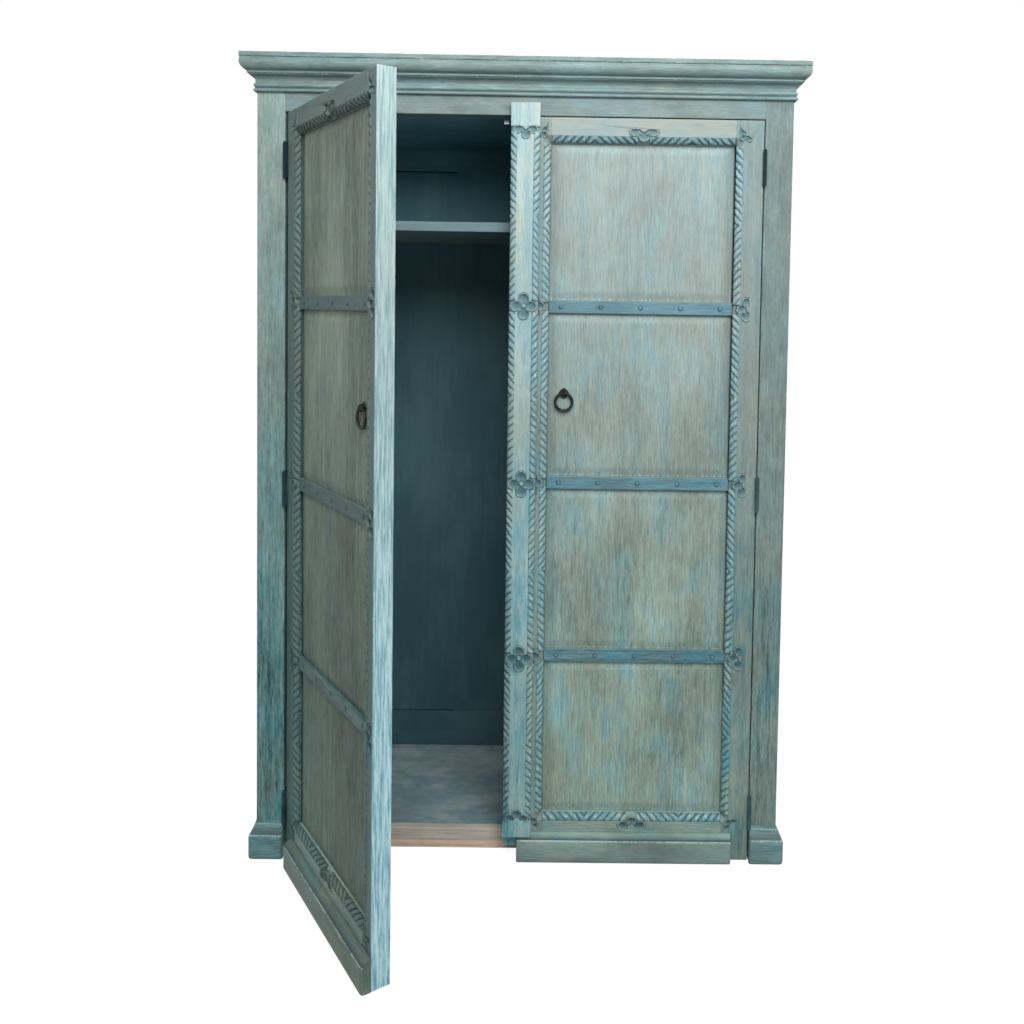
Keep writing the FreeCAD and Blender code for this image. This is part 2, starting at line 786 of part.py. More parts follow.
def ring_pull(leaf):
    """Ring with the staple and the plate that carry it, on the second panel."""
    x = leaf.x(leaf.opening_end - ring_from_opening_edge)
    seat = front + panel_field_depth
    plate_front = seat - plate_thickness
    axis_y = plate_front - staple_centre_rise
    leaf.save("ring_plate", plate_shape(x, plate_front))
    leaf.save("ring_staple", staple_shape(x, plate_front, axis_y))
    leaf.save("ring", ring_shape(V(x, axis_y, ring_axis_height - ring_radius)))


# Astragal on the right leaf


def astragal(leaf, moulding):
    """Strip over the meeting edges, with a stem between the leaves, ropes and rosettes."""
    half = astragal_width / 2
    outer = front - astragal_thickness
    flange = box(-half, half, outer, front, astragal_bottom, astragal_top)
    relief = box(-half - overrun, -stem_width, front - astragal_relief, front + overrun,
                 astragal_bottom - overrun, astragal_top + overrun)
    above = box(-half, half, front - astragal_relief, front, door_top, astragal_top)
    stem = box(-stem_width, 0, front, front + door_thickness, stem_bottom, door_top)
    body = flange.cut(relief).cut(above)
    ropes = []
    for sign in (-1, 1):
        def place(u, v, side=sign):
            return V(side * (half - astragal_rope_band + u), outer + v, astragal_rope_bottom)
        start, end = (0, 0), (astragal_rope_band, astragal_rope_depth)
        run = V(0, 0, astragal_rope_top - astragal_rope_bottom)
        body = body.cut(prism([place(*start), place(astragal_rope_band, 0), place(*end)], run))
        ropes.append(prism(bulged_section(place, start, end, astragal_rope_bulge), run))
    rosettes = []
    places = [(height, full_outline, 0) for height in cross_rail_heights]
    places += [(astragal_rope_top, half_outline, 0), (astragal_rope_bottom, half_outline, 180)]
    for height, outline, turn in places:
        full, hollow = rosette(outline, 0, height, turn, 1.0, outer, astragal_rope_depth)
        ropes = [rope.cut(full) for rope in ropes]
        solid = full.cut(body).cut(hollow)
        if outline is full_outline:
            hollow_floor = outer - rosette_rise + rosette_recess
            solid = solid.fuse(domed_button(0, hollow_floor, height, rosette_boss_radius,
                                            rosette_boss_rise - rosette_rise + rosette_recess))
        rosettes += solid.Solids
    body = body.fuse(stem).cut(moulding)
    leaf.save("astragal", body.removeSplitter())
    runs = []
    for rope in ropes:
        runs += rope.Solids
    leaf.save("astragal_rope", *runs)
    leaf.save("astragal_rosettes", *rosettes)


# Hinges


def hinge_leaf(sign, height, on_door):
    """One hinge leaf with its knuckles: two outer ones on the post, the middle one on the door."""
    axis_x = sign * hinge_axis_x
    wall = sign * post_inner if not on_door else sign * (post_inner - door_gap)
    step = -sign if not on_door else sign
    bottom = height - hinge_length / 2
    third = hinge_length / 3
    knuckle_back = hinge_axis_y + knuckle_radius + knuckle_gap
    plate = box(wall, wall + step * leaf_plate_thickness, knuckle_back, front + leaf_plate_depth,
                bottom, bottom + hinge_length)
    spans = [(bottom + third, bottom + 2 * third)] if on_door else [
        (bottom, bottom + third - knuckle_gap), (bottom + 2 * third + knuckle_gap, bottom + hinge_length)]
    bore = hinge_pin_radius
    if on_door:
        bore = (hinge_pin_radius + hinge_running_clearance) / math.cos(math.pi / knuckle_sides)
    for low, high in spans:
        barrel = prism(regular_outline(knuckle_sides, knuckle_radius, lambda u, v: V(
            axis_x + u, hinge_axis_y + v, low)), V(0, 0, high - low))
        neck = box(wall, wall + step * leaf_plate_thickness, hinge_axis_y, knuckle_back, low, high)
        plate = plate.fuse(barrel).fuse(neck)
    hole = prism(regular_outline(knuckle_sides, bore, lambda u, v: V(
        axis_x + u, hinge_axis_y + v, bottom - overrun)), V(0, 0, hinge_length + 2 * overrun))
    return plate.cut(hole).removeSplitter()


def hinges(leaves):
    """Three butt hinges on each side, with pins that have small heads."""
    fixed = []
    pins = []
    for leaf in leaves:
        moving = [hinge_leaf(leaf.sign, height, True) for height in hinge_heights]
        leaf.save("hinge_leaves", *moving)
        for height in hinge_heights:
            fixed.append(hinge_leaf(leaf.sign, height, False))
            axis = V(leaf.sign * hinge_axis_x, hinge_axis_y, height - hinge_length / 2)
            pin = prism(regular_outline(knuckle_sides, hinge_pin_radius, lambda u, v: V(
                axis.x + u, axis.y + v, axis.z)), V(0, 0, hinge_length))
            head = prism(regular_outline(knuckle_sides, pin_head_radius, lambda u, v: V(
                axis.x + u, axis.y + v, axis.z + hinge_length)), V(0, 0, pin_head_height))
            pins.append(pin.fuse(head))
    save("hinge_post_leaves", *fixed)
    save("hinge_pins", *pins)


def door_leaf(leaf, keep_outs):
    """Every piece of one leaf apart from its hinges and astragal."""
    ring = door_frame(leaf)
    moulding = moulding_shape(leaf)
    cross_rails(leaf)
    panels_and_straps(leaf)
    carved_border(leaf, ring, [moulding] + keep_outs)
    leaf.save("plinth_moulding", moulding.copy())
    ring_pull(leaf)
    return moulding


front_and_rear_posts()
cornices()
plinth_blocks()
frieze()
sides()
backs()
dust_top()
inside_boards()
door_catch()

left_leaf = Leaf("left_door", -1, -(astragal_width / 2 + meeting_clearance),
                 left_meeting_stile_width, left_door_rest_angle)
right_leaf = Leaf("right_door", 1, 0, right_meeting_stile_width, 0)
astragal_cover = box(-astragal_width, astragal_width / 2 + fit_clearance, front - moulding_projection,
                     front + fit_clearance, 0, case_height)
door_leaf(left_leaf, [])
right_moulding = door_leaf(right_leaf, [astragal_cover])
astragal(right_leaf, right_moulding)
hinges((left_leaf, right_leaf))
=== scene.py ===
"""Trastero cabinet: a brush-painted two-door cabinet with carved borders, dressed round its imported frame."""
import json
import logging
import math
from contextlib import contextmanager
from dataclasses import dataclass, field, replace
from enum import Enum
from typing import Any, Callable, Iterable, Iterator, Sequence

import bmesh
import bpy
from mathutils import Matrix, Vector, noise


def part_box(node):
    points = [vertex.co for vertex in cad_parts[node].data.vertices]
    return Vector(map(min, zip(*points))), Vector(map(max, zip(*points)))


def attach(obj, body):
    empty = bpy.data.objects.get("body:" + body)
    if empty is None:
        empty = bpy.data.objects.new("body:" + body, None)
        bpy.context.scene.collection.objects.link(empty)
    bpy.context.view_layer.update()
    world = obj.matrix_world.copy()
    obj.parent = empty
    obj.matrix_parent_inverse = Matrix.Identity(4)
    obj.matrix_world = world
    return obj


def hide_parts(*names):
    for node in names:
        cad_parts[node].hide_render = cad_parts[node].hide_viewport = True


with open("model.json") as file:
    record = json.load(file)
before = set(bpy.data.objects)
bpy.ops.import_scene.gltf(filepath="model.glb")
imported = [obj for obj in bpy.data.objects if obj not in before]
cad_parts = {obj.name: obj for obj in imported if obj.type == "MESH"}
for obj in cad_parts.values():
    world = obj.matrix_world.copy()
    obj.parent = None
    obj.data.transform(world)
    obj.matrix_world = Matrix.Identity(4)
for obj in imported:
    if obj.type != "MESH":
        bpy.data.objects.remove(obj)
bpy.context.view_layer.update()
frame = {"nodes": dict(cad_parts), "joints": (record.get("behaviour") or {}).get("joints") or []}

MM = 0.001
MERGE_DISTANCE = 0.02 * MM

Colour = tuple[float, float, float]
Box = tuple[Vector, Vector]
Place = tuple[Vector, float, Vector]

log = logging.getLogger("trastero")


# Node trees


def maths(operation: str, swapped: bool = False) -> Callable[..., "Value"]:
    """Make a method that adds one Math node.

    Args:
        operation: Blender's name of the operation.
        swapped: Whether the method's own value comes last.

    Returns:
        The method, which takes the other operands.
    """
    def method(value: "Value", *others: Any) -> "Value":
        """Add the node to the value's tree."""
        operands = (*others, value) if swapped else (value, *others)
        return value.tree.node("ShaderNodeMath", {"operation": operation}, dict(enumerate(operands)))

    return method


class Value:
    """A node socket that takes part in Python expressions."""

    __add__ = __radd__ = maths("ADD")
    __sub__ = maths("SUBTRACT")
    __rsub__ = maths("SUBTRACT", swapped=True)
    __mul__ = __rmul__ = maths("MULTIPLY")
    __truediv__ = maths("DIVIDE")
    __pow__ = maths("POWER")
    __abs__ = maths("ABSOLUTE")
    at_least = maths("MAXIMUM")
    at_most = maths("MINIMUM")
    fraction = maths("FRACT")
    rounded_up = maths("CEIL")

    def __init__(self, tree: "Tree", socket: bpy.types.NodeSocket) -> None:
        """Keep the tree that new Math nodes go into."""
        self.tree = tree
        self.socket = socket

    def ramp(self, low: float, high: float) -> "Value":
        """Smooth step from 0 at low to 1 at high."""
        return self.tree.node("ShaderNodeMapRange", {"interpolation_type": "SMOOTHSTEP"},
                              {"Value": self, "From Min": low, "From Max": high})


class Tree:
    """Builder of one node tree, for a material or for Geometry Nodes."""

    def __init__(self, tree: bpy.types.NodeTree) -> None:
        """Start from an emptied tree."""
        self.tree = tree
        self.tree.nodes.clear()

    def node(self, kind: str, settings: dict[str, Any] | None = None,
             inputs: dict[Any, Any] | None = None, output: Any = 0) -> Value:
        """Add any node.

        Args:
            kind: The node's type.
            settings: Its properties, set first.
            inputs: Values, numbers or colours by socket name or number.
            output: Name or number of the socket to return.

        Returns:
            The chosen output, or the first one.
        """
        made = self.tree.nodes.new(kind)
        for key, value in (settings or {}).items():
            setattr(made, key, value)
        for key, value in (inputs or {}).items():
            target = made.inputs[key]
            if isinstance(value, Value):
                self.tree.links.new(value.socket, target)
            else:
                target.default_value = value
        result = made.outputs[output] if len(made.outputs) else None
        return Value(self, result)

    def split(self, vector: Value) -> tuple[Value, Value, Value]:
        """The three numbers of a vector."""
        parts = [self.node("ShaderNodeSeparateXYZ", None, {0: vector}, axis) for axis in range(3)]
        return parts[0], parts[1], parts[2]

    def joined(self, x: Any, y: Any, z: Any) -> Value:
        """A vector from three numbers."""
        return self.node("ShaderNodeCombineXYZ", None, {0: x, 1: y, 2: z})

    def mixed(self, first: Any, second: Any, amount: Any, blend: str = "MIX") -> Value:
        """Blend two colours.

        Args:
            first: Colour at amount 0.
            second: Colour at amount 1.
            amount: Share of the second colour.
            blend: Blender's name of the blend.

        Returns:
            The blended colour.
        """
        first, second = (colour if isinstance(colour, Value) else (*colour, 1.0)
                         for colour in (first, second))
        return self.node("ShaderNodeMix", {"data_type": "RGBA", "blend_type": blend},
                         {0: amount, 6: first, 7: second}, 2)

    def shaded(self, colour: Value, level: Value) -> Value:
        """A colour times a grey level."""
        return self.mixed(colour, self.joined(level, level, level), 1.0, "MULTIPLY")


@dataclass(frozen=True)
class Pattern:
    """A noise that finishes are mixed from: features per metre, octaves and weight of the finer ones."""

    scale: float
    detail: float
    roughness: float


class Shader(Tree):
    """A material's tree round one Principled shader."""

    def __init__(self, name: str) -> None:
        """Create the material and its output."""
        self.material = bpy.data.materials.new(name)
        self.material.use_nodes = True
        super().__init__(self.material.node_tree)

    def place(self, turn: float = 0.0) -> Value:
        """Object coordinates, turned about the upright axis.

        Args:
            turn: Angle in radians that brings an open leaf's pattern back to its closed place.

        Returns:
            Coordinates in metres.
        """
        here = self.node("ShaderNodeTexCoord", None, None, "Object")
        if not turn:
            return here
        return self.node("ShaderNodeMapping", None, {"Vector": here, "Rotation": (0.0, 0.0, turn)})

    def stretched(self, vector: Value, scale: Sequence[float]) -> Value:
        """Coordinates multiplied axis by axis."""
        return self.node("ShaderNodeVectorMath", {"operation": "MULTIPLY"}, {0: vector, 1: tuple(scale)})

    def noise(self, vector: Value, pattern: Pattern) -> Value:
        """Noise from 0 to 1 at some coordinates in metres."""
        return self.node("ShaderNodeTexNoise", None, {
            "Vector": vector, "Scale": pattern.scale, "Detail": pattern.detail,
            "Roughness": pattern.roughness})

    def attribute(self, name: str) -> Value:
        """A number painted on the mesh."""
        return self.node("ShaderNodeAttribute", {"attribute_name": name}, None, "Fac")

    def bump(self, height: Value, distance: float, strength: float) -> Value:
        """Normal disturbed by a height."""
        return self.node("ShaderNodeBump", None, {"Height": height, "Distance": distance,
                                                  "Strength": strength})

    def finish(self, colour: Any, roughness: Any, normal: Value | None = None, **constants: float) -> None:
        """End the material in one Principled shader.

        Args:
            colour: Base colour, or a link to it.
            roughness: Roughness, or a link to it.
            normal: Link to the bumped normal.
            constants: Other sockets' values by name, with underscores for spaces.
        """
        inputs: dict[Any, Any] = {"Base Color": colour if isinstance(colour, Value) else (*colour, 1.0),
                                  "Roughness": roughness}
        if normal is not None:
            inputs["Normal"] = normal
        for key, value in constants.items():
            inputs[key.replace("_", " ")] = value
        surface = self.node("ShaderNodeBsdfPrincipled", None, inputs)
        self.node("ShaderNodeOutputMaterial", None, {"Surface": surface})


# Finishes


class Grain(Enum):
    """Direction in which a timber was cut and brushed."""

    UPRIGHT = (1.0, 1.0, 0.035)
    LEVEL = (0.035, 1.0, 1.0)
    DEEP = (1.0, 0.035, 1.0)

    @property
    def stroke(self) -> tuple[float, ...]:
        """Stretch of short brush strokes."""
        return tuple(0.085 if share < 0.5 else 1.0 for share in self.value)

    @property
    def swept(self) -> tuple[float, ...]:
        """Milder stretch, for clouds that the brush has pulled a little."""
        return tuple(0.45 if share < 0.5 else 1.0 for share in self.value)


# Noises of the brushed paint, from wide clouds to single bristles
CLOUD = Pattern(8.0, 4.0, 0.60)
HAZE = Pattern(5.0, 3.0, 0.55)
DRIFT = Pattern(22.0, 4.0, 0.65)
BROAD = Pattern(60.0, 3.0, 0.60)
STREAK = Pattern(230.0, 3.0, 0.65)
BRISTLE = Pattern(520.0, 2.0, 0.65)
CHIPS = Pattern(170.0, 3.0, 0.70)
CRACKLE = Pattern(380.0, 4.0, 0.70)

# Noises of the boards inside, the bare wood and the metal
BOARD_STREAK = Pattern(70.0, 4.0, 0.60)
BOARD_CLOUD = Pattern(7.0, 4.0, 0.60)
SWIRL = Pattern(11.0, 5.0, 0.70)
RINGS = Pattern(180.0, 5.0, 0.65)
PORES = Pattern(900.0, 2.0, 0.60)
GRIME = Pattern(9.0, 4.0, 0.60)
RUST_CLOUD = Pattern(60.0, 4.0, 0.65)
HAMMER = Pattern(260.0, 2.0, 0.50)

# Heights in metres between which a finish changes from its low to its high colours
COLOUR_HEIGHTS = (0.3, 1.7)
CHALK_HEIGHTS = (0.2, 1.6)
# Inside, the boards lighten towards the top and darken towards the foot between these heights: painted light
INSIDE_FOOT = (0.2, 1.0)
INSIDE_TOP = (1.45, 1.75)


@dataclass(frozen=True)
class Finish:
    """What all finishes share: a name, and a material for each grain and leaf."""

    name: str

    def material(self, grain: Grain, turn: float) -> bpy.types.Material:
        """Build the finish.

        Args:
            grain: Direction of the timber and the brush.
            turn: Angle of the leaf that carries the piece, in radians.

        Returns:
            The material.
        """
        shader = Shader(f"{self.name}_{grain.name.lower()}_{round(math.degrees(turn))}")
        self.fill(shader, shader.place(turn), grain)
        return shader.material

    def fill(self, shader: Shader, here: Value, grain: Grain) -> None:
        """Add the finish's own nodes.

        Args:
            shader: Tree of the new material.
            here: Coordinates in metres, as if every leaf were closed.
            grain: Direction of the timber and the brush.
        """
        raise NotImplementedError


@dataclass(frozen=True)
class BrushedPaint(Finish):
    """Thin chalky paint in cool and warm clouds, dragged along the grain over a teal ground."""

    cool: Colour = (0.215, 0.330, 0.350)
    warm: Colour = (0.355, 0.380, 0.310)
    low_cool: Colour = (0.120, 0.275, 0.295)
    low_warm: Colour = (0.375, 0.435, 0.335)
    pale: Colour = (0.430, 0.510, 0.470)
    low_pale: Colour = (0.410, 0.510, 0.470)
    ground: Colour = (0.080, 0.165, 0.180)
    low_ground: Colour = (0.075, 0.165, 0.185)
    tone: Colour = (1.0, 1.0, 1.0)
    warmth: float = 0.50
    ground_share: float = 0.20
    streak_contrast: float = 0.75
    haze_contrast: float = 0.55
    haze_fade: float = 0.8
    worn_edge: Colour = (0.60, 0.68, 0.66)
    hollow_glaze: Colour = (0.030, 0.080, 0.095)
    low_glaze: Colour = (0.030, 0.080, 0.095)
    wear: float = 0.35
    hollow_strength: float = 0.9
    chalk_high: Colour = (0.40, 0.515, 0.505)
    chalk_high_deep: Colour = (0.17, 0.30, 0.32)
    chalk_low: Colour = (0.60, 0.91, 0.98)
    chalk_low_deep: Colour = (0.10, 0.32, 0.42)
    crackle_stretch: tuple[float, float, float] = (1.0, 1.0, 0.03)
    bristle_height: float = 0.0004
    roughness: float = 0.58
    gloss: float = 0.32

    def toned(self, shader: Shader, low: Colour, high: Colour, height: Value) -> Value:
        """Two of the paint's colours, shifted by its tone and mixed by height."""
        low, high = (tuple(share * part for share, part in zip(colour, self.tone)) for colour in (low, high))
        return shader.mixed(low, high, height)

    def fill(self, shader: Shader, here: Value, grain: Grain) -> None:
        """Mix the clouds, drag them along the grain, then add ground, chalk, glaze with painted shade in the
        hollows, and worn arrises.

        Args:
            shader: Tree of the new material.
            here: Coordinates in metres, as if every leaf were closed.
            grain: Direction of the brush.
        """
        along, swept, brushed = (shader.stretched(here, stretch)
                                 for stretch in (grain.value, grain.swept, grain.stroke))
        cloud, drift, haze = (shader.noise(swept, pattern) for pattern in (CLOUD, DRIFT, HAZE))
        broad = shader.noise(along, BROAD)
        streak, bristle = (shader.noise(brushed, pattern) for pattern in (STREAK, BRISTLE))
        height = shader.split(here)[2].ramp(*COLOUR_HEIGHTS)
        warm = (cloud * 0.50 + drift * 0.26 + broad * 0.18 + streak * 0.06 + (self.warmth - 0.5) * 0.5
                ).ramp(0.39, 0.61)
        colour = shader.mixed(self.toned(shader, self.low_cool, self.cool, height),
                              self.toned(shader, self.low_warm, self.warm, height), warm)
        chalky = (drift * 0.50 + broad * 0.35 + streak * 0.15).ramp(0.47, 0.64)
        colour = shader.mixed(colour, self.toned(shader, self.low_pale, self.pale, height), chalky * 0.55)
        bare = (drift * 0.42 + cloud * 0.22 + broad * 0.26 + streak * 0.10 + (self.ground_share - 0.5) * 0.42
                ).ramp(0.33, 0.53)
        colour = shader.mixed(colour, self.toned(shader, self.low_ground, self.ground, height), bare * 0.75)
        strokes = (streak * 0.42 + broad * 0.26 + bristle * 0.32 - 0.5) * (1.6 - height * 0.75)
        mist = (haze - 0.5) * (1 - height * self.haze_fade)
        colour = shader.shaded(colour, strokes * (2 * self.streak_contrast)
                               + mist * (2 * self.haze_contrast) + 1)
        colour = self.chalked(shader, colour, here, streak)
        # Dark glaze in the hollows, which also paints the shade of inner corners, creases, the top rope and
        # the nail heads' feet; it is paler higher up, painted light from above
        hollow = (shader.attribute("hollow") * (0.72 + drift * 0.56)).at_most(1.0)
        glaze = shader.mixed(self.low_glaze, self.hollow_glaze, height)
        colour = shader.mixed(colour, glaze, (hollow * self.hollow_strength).at_most(1.0))
        chips = (shader.noise(here, CHIPS) - 0.5) * 1.4 + (streak - 0.5) * 0.8
        threshold = 1.05 - 0.35 * self.wear
        arris = (shader.attribute("arris") + chips).ramp(threshold, threshold + 0.2)
        colour = shader.mixed(colour, self.worn_edge, arris * self.wear)
        shader.finish(colour, warm * 0.10 + (self.roughness - 0.05),
                      shader.bump(bristle * 0.5 + streak * 0.5, self.bristle_height, 0.8),
                      Specular_IOR_Level=self.gloss)

    def chalked(self, shader: Shader, colour: Value, here: Value, streak: Value) -> Value:
        """Crackled pale paint where the mesh carries chalk, paler towards the foot as painted light.

        Args:
            shader: Tree of the material.
            colour: Colour of the paint elsewhere.
            here: Coordinates in metres.
            streak: Noise of the brush strokes.

        Returns:
            The colour with the pale paint in it.
        """
        crackle = shader.noise(shader.stretched(here, self.crackle_stretch), CRACKLE)
        # painted light: the chalk grows paler towards the foot
        low = 1 - shader.split(here)[2].ramp(*CHALK_HEIGHTS)
        pale = shader.mixed(self.chalk_high, self.chalk_low, low)
        deep = shader.mixed(self.chalk_high_deep, self.chalk_low_deep, low)
        chalk = shader.mixed(deep, pale, (crackle * 0.75 + streak * 0.25).ramp(0.375, 0.595))
        return shader.mixed(colour, chalk, shader.attribute("chalk"))


@dataclass(frozen=True)
class InsidePaint(Finish):
    """Thin dark paint over the boards inside the case."""

    coat: Colour = (0.052, 0.135, 0.165)
    thin_coat: Colour = (0.085, 0.185, 0.215)
    chalk: Colour = (0.20, 0.24, 0.24)
    chalk_amount: float = 0.0
    worn_edge: Colour = (0.16, 0.22, 0.22)
    high_gain: float = 0.0
    low_loss: float = 0.0
    roughness: float = 0.62

    def fill(self, shader: Shader, here: Value, grain: Grain) -> None:
        """Mix a thick and a thin coat, with rubbed chalk on the boards that carry it.

        Args:
            shader: Tree of the new material.
            here: Coordinates in metres, as if every leaf were closed.
            grain: Direction of the boards.
        """
        streak = shader.noise(shader.stretched(here, grain.value), BOARD_STREAK)
        cloud = shader.noise(shader.stretched(here, grain.swept), BOARD_CLOUD)
        colour = shader.mixed(self.coat, self.thin_coat, (streak * 0.25 + cloud * 0.75).ramp(0.40, 0.66))
        if self.chalk_amount:
            swirl = shader.noise(shader.stretched(here, (1.0, 1.6, 1.0)), SWIRL)
            smear = (swirl * 0.6 + cloud * 0.4).ramp(0.40, 0.66)
            colour = shader.mixed(colour, self.chalk, smear * self.chalk_amount)
        height = shader.split(here)[2]
        # painted light: the boards grow lighter towards the top and darker towards the foot
        gain = height.ramp(*INSIDE_TOP) * self.high_gain
        colour = shader.shaded(colour, gain - (1 - height.ramp(*INSIDE_FOOT)) * self.low_loss + 1)
        arris = (shader.attribute("arris") + (streak - 0.5) * 1.2).ramp(0.95, 1.15)
        colour = shader.mixed(colour, self.worn_edge, arris * 0.5)
        shader.finish(colour, cloud * 0.12 + (self.roughness - 0.06), shader.bump(streak, 0.5 * MM, 0.6),
                      Specular_IOR_Level=0.3)


@dataclass(frozen=True)
class BareWood(Finish):
    """Unpainted softwood, rubbed and slightly grey."""

    early: Colour
    late: Colour
    grime: Colour = (0.20, 0.18, 0.155)
    grime_amount: float = 0.25
    roughness: float = 0.62

    def fill(self, shader: Shader, here: Value, grain: Grain) -> None:
        """Draw growth rings and pores along the grain, with clouds of grime over them.

        Args:
            shader: Tree of the new material.
            here: Coordinates in metres, as if every leaf were closed.
            grain: Direction of the grain.
        """
        along = shader.stretched(here, grain.value)
        rings, pores = (shader.noise(along, pattern) for pattern in (RINGS, PORES))
        cloud = shader.noise(here, GRIME)
        colour = shader.mixed(self.early, self.late, (rings * 0.75 + pores * 0.25).ramp(0.44, 0.68))
        dirt = (cloud * 0.7 + rings * 0.3 + (self.grime_amount - 0.5) * 0.5).ramp(0.30, 0.60)
        colour = shader.mixed(colour, self.grime, dirt * (0.4 + 0.5 * self.grime_amount))
        shader.finish(colour, cloud * 0.15 + self.roughness,
                      shader.bump(rings * 0.5 + pores * 0.5, 0.5 * MM, 0.7), Specular_IOR_Level=0.25)


@dataclass(frozen=True)
class Metal(Finish):
    """Forged or pressed metal with darker and rubbed patches."""

    skin: Colour
    rubbed: Colour
    roughness: float
    metallic: float
    hammer_depth: float = 0.6 * MM

    def fill(self, shader: Shader, here: Value, grain: Grain) -> None:
        """Dent the skin and rub its high places.

        Args:
            shader: Tree of the new material.
            here: Coordinates in metres, as if every leaf were closed.
            grain: Not used by metal.
        """
        dents, cloud = (shader.noise(here, pattern) for pattern in (HAMMER, RUST_CLOUD))
        rub = (cloud * 0.6 + dents * 0.4).ramp(0.48, 0.68)
        shader.finish(shader.mixed(self.skin, self.rubbed, rub), rub * -0.18 + self.roughness,
                      shader.bump(dents, self.hammer_depth, 0.7), Metallic=self.metallic,
                      Specular_IOR_Level=0.4)


OLIVE = {"hollow_glaze": (0.075, 0.105, 0.085), "low_glaze": (0.075, 0.105, 0.085)}

# What each brushed paint has of its own; the shaded ones are the left leaf's, darker copies that paint in the
# shade of the leaf standing open and turned from the lamps
PAINTS: dict[str, dict[str, Any]] = {
    "panel": dict(cool=(0.26, 0.39, 0.402), warm=(0.325, 0.366, 0.325), low_cool=(0.205, 0.38, 0.382),
        low_warm=(0.345, 0.392, 0.292), pale=(0.42, 0.468, 0.41), low_pale=(0.44, 0.53, 0.44),
        ground=(0.215, 0.285, 0.28), low_ground=(0.155, 0.24, 0.205), ground_share=0.26,
        streak_contrast=1.05, haze_contrast=0.9, wear=0.75, **OLIVE),
    # painted shade: the open leaf's panel grows much darker towards the foot, where less light reaches its
    # face
    "shaded_panel": dict(cool=(0.2, 0.29, 0.245), warm=(0.32, 0.38, 0.3), low_cool=(0.082, 0.16, 0.142),
        low_warm=(0.12, 0.16, 0.112), pale=(0.345, 0.43, 0.335), low_pale=(0.16, 0.222, 0.18),
        ground=(0.15, 0.23, 0.18), low_ground=(0.07, 0.126, 0.104), streak_contrast=1.9, haze_contrast=1.1,
        haze_fade=0.0, wear=0.6, **OLIVE),
    "stile": dict(tone=(0.84, 0.84, 0.84), wear=0.5),
    "shaded_stile": dict(tone=(0.56, 0.66, 0.66), wear=0.5, low_cool=(0.085, 0.21, 0.22),
        low_warm=(0.23, 0.3, 0.24)),
    "rail": dict(tone=(1.14, 1.04, 1.01), wear=0.5, streak_contrast=0.35),
    "foot_rail": dict(wear=0.5),
    "post": dict(tone=(0.87, 0.85, 0.84), ground_share=0.38, low_ground=(0.135, 0.215, 0.205), wear=0.45,
        streak_contrast=1.4),
    # The left post's lighter tone is painted light, making up for the open leaf's shadow; its teal foot is the
    # paint's own colour
    "left_post": dict(tone=(1.12, 1.17, 1.15), low_cool=(0.085, 0.265, 0.295),
        low_warm=(0.235, 0.375, 0.33), ground_share=0.3, wear=0.45, streak_contrast=1.5, haze_contrast=0.8),
    "side": dict(tone=(0.9, 0.9, 0.9), ground_share=0.3),
    "cornice": dict(tone=(0.94, 0.97, 0.96), ground_share=0.36, wear=0.8, streak_contrast=1.35),
    "frieze": dict(tone=(0.76, 0.79, 0.82), ground_share=0.3, wear=0.25, streak_contrast=1.0),
    "plinth": dict(tone=(0.98, 1.04, 1.04), warmth=0.38, ground_share=0.36, wear=0.6, streak_contrast=1.2,
        hollow_glaze=(0.11, 0.15, 0.135), low_glaze=(0.11, 0.15, 0.135)),
    "moulding": dict(tone=(1.38, 1.26, 1.18), ground_share=0.42, wear=0.6, streak_contrast=0.55,
        haze_contrast=1.7),
    "shaded_moulding": dict(tone=(0.86, 0.76, 0.66), ground_share=0.38, wear=0.6, streak_contrast=0.7),
    "astragal": dict(tone=(1.42, 1.4, 1.4), warmth=0.46, low_cool=(0.095, 0.265, 0.315),
        low_warm=(0.2, 0.345, 0.34), ground_share=0.12, wear=0.5),
    "carving": dict(tone=(1.1, 1.18, 1.22), warmth=0.4, ground_share=0.16, wear=0.6, hollow_strength=1.0,
        hollow_glaze=(0.036, 0.115, 0.145), low_glaze=(0.026, 0.1, 0.135)),
    "shaded_carving": dict(tone=(0.62, 0.7, 0.68), ground_share=0.24, hollow_strength=1.0,
        worn_edge=(0.3, 0.37, 0.35), hollow_glaze=(0.028, 0.05, 0.05), low_glaze=(0.022, 0.05, 0.055)),
    "flower": dict(wear=0.6, hollow_glaze=(0.08, 0.19, 0.22), low_glaze=(0.028, 0.12, 0.16),
        hollow_strength=0.92),
    "shaded_flower": dict(tone=(0.6, 0.7, 0.68), wear=0.5, worn_edge=(0.4, 0.48, 0.46),
        hollow_glaze=(0.04, 0.09, 0.095), low_glaze=(0.022, 0.075, 0.09)),
    "strap": dict(cool=(0.12, 0.265, 0.32), warm=(0.2, 0.31, 0.335), low_cool=(0.052, 0.225, 0.295),
        low_warm=(0.1, 0.265, 0.325), pale=(0.24, 0.4, 0.45), ground=(0.04, 0.13, 0.175), ground_share=0.3,
        wear=0.45, streak_contrast=1.3),
    "shaded_strap": dict(cool=(0.085, 0.165, 0.165), warm=(0.135, 0.185, 0.165),
        low_cool=(0.05, 0.115, 0.115), low_warm=(0.085, 0.13, 0.11), pale=(0.26, 0.33, 0.3),
        ground=(0.045, 0.1, 0.115), ground_share=0.3, wear=0.55, streak_contrast=1.3),
    "hinge": dict(cool=(0.02, 0.045, 0.055), warm=(0.03, 0.055, 0.058), low_cool=(0.015, 0.04, 0.05),
        low_warm=(0.025, 0.05, 0.055), pale=(0.07, 0.11, 0.12), ground=(0.012, 0.028, 0.034),
        worn_edge=(0.22, 0.29, 0.29), ground_share=0.5, wear=0.2, roughness=0.7, gloss=0.05),
}


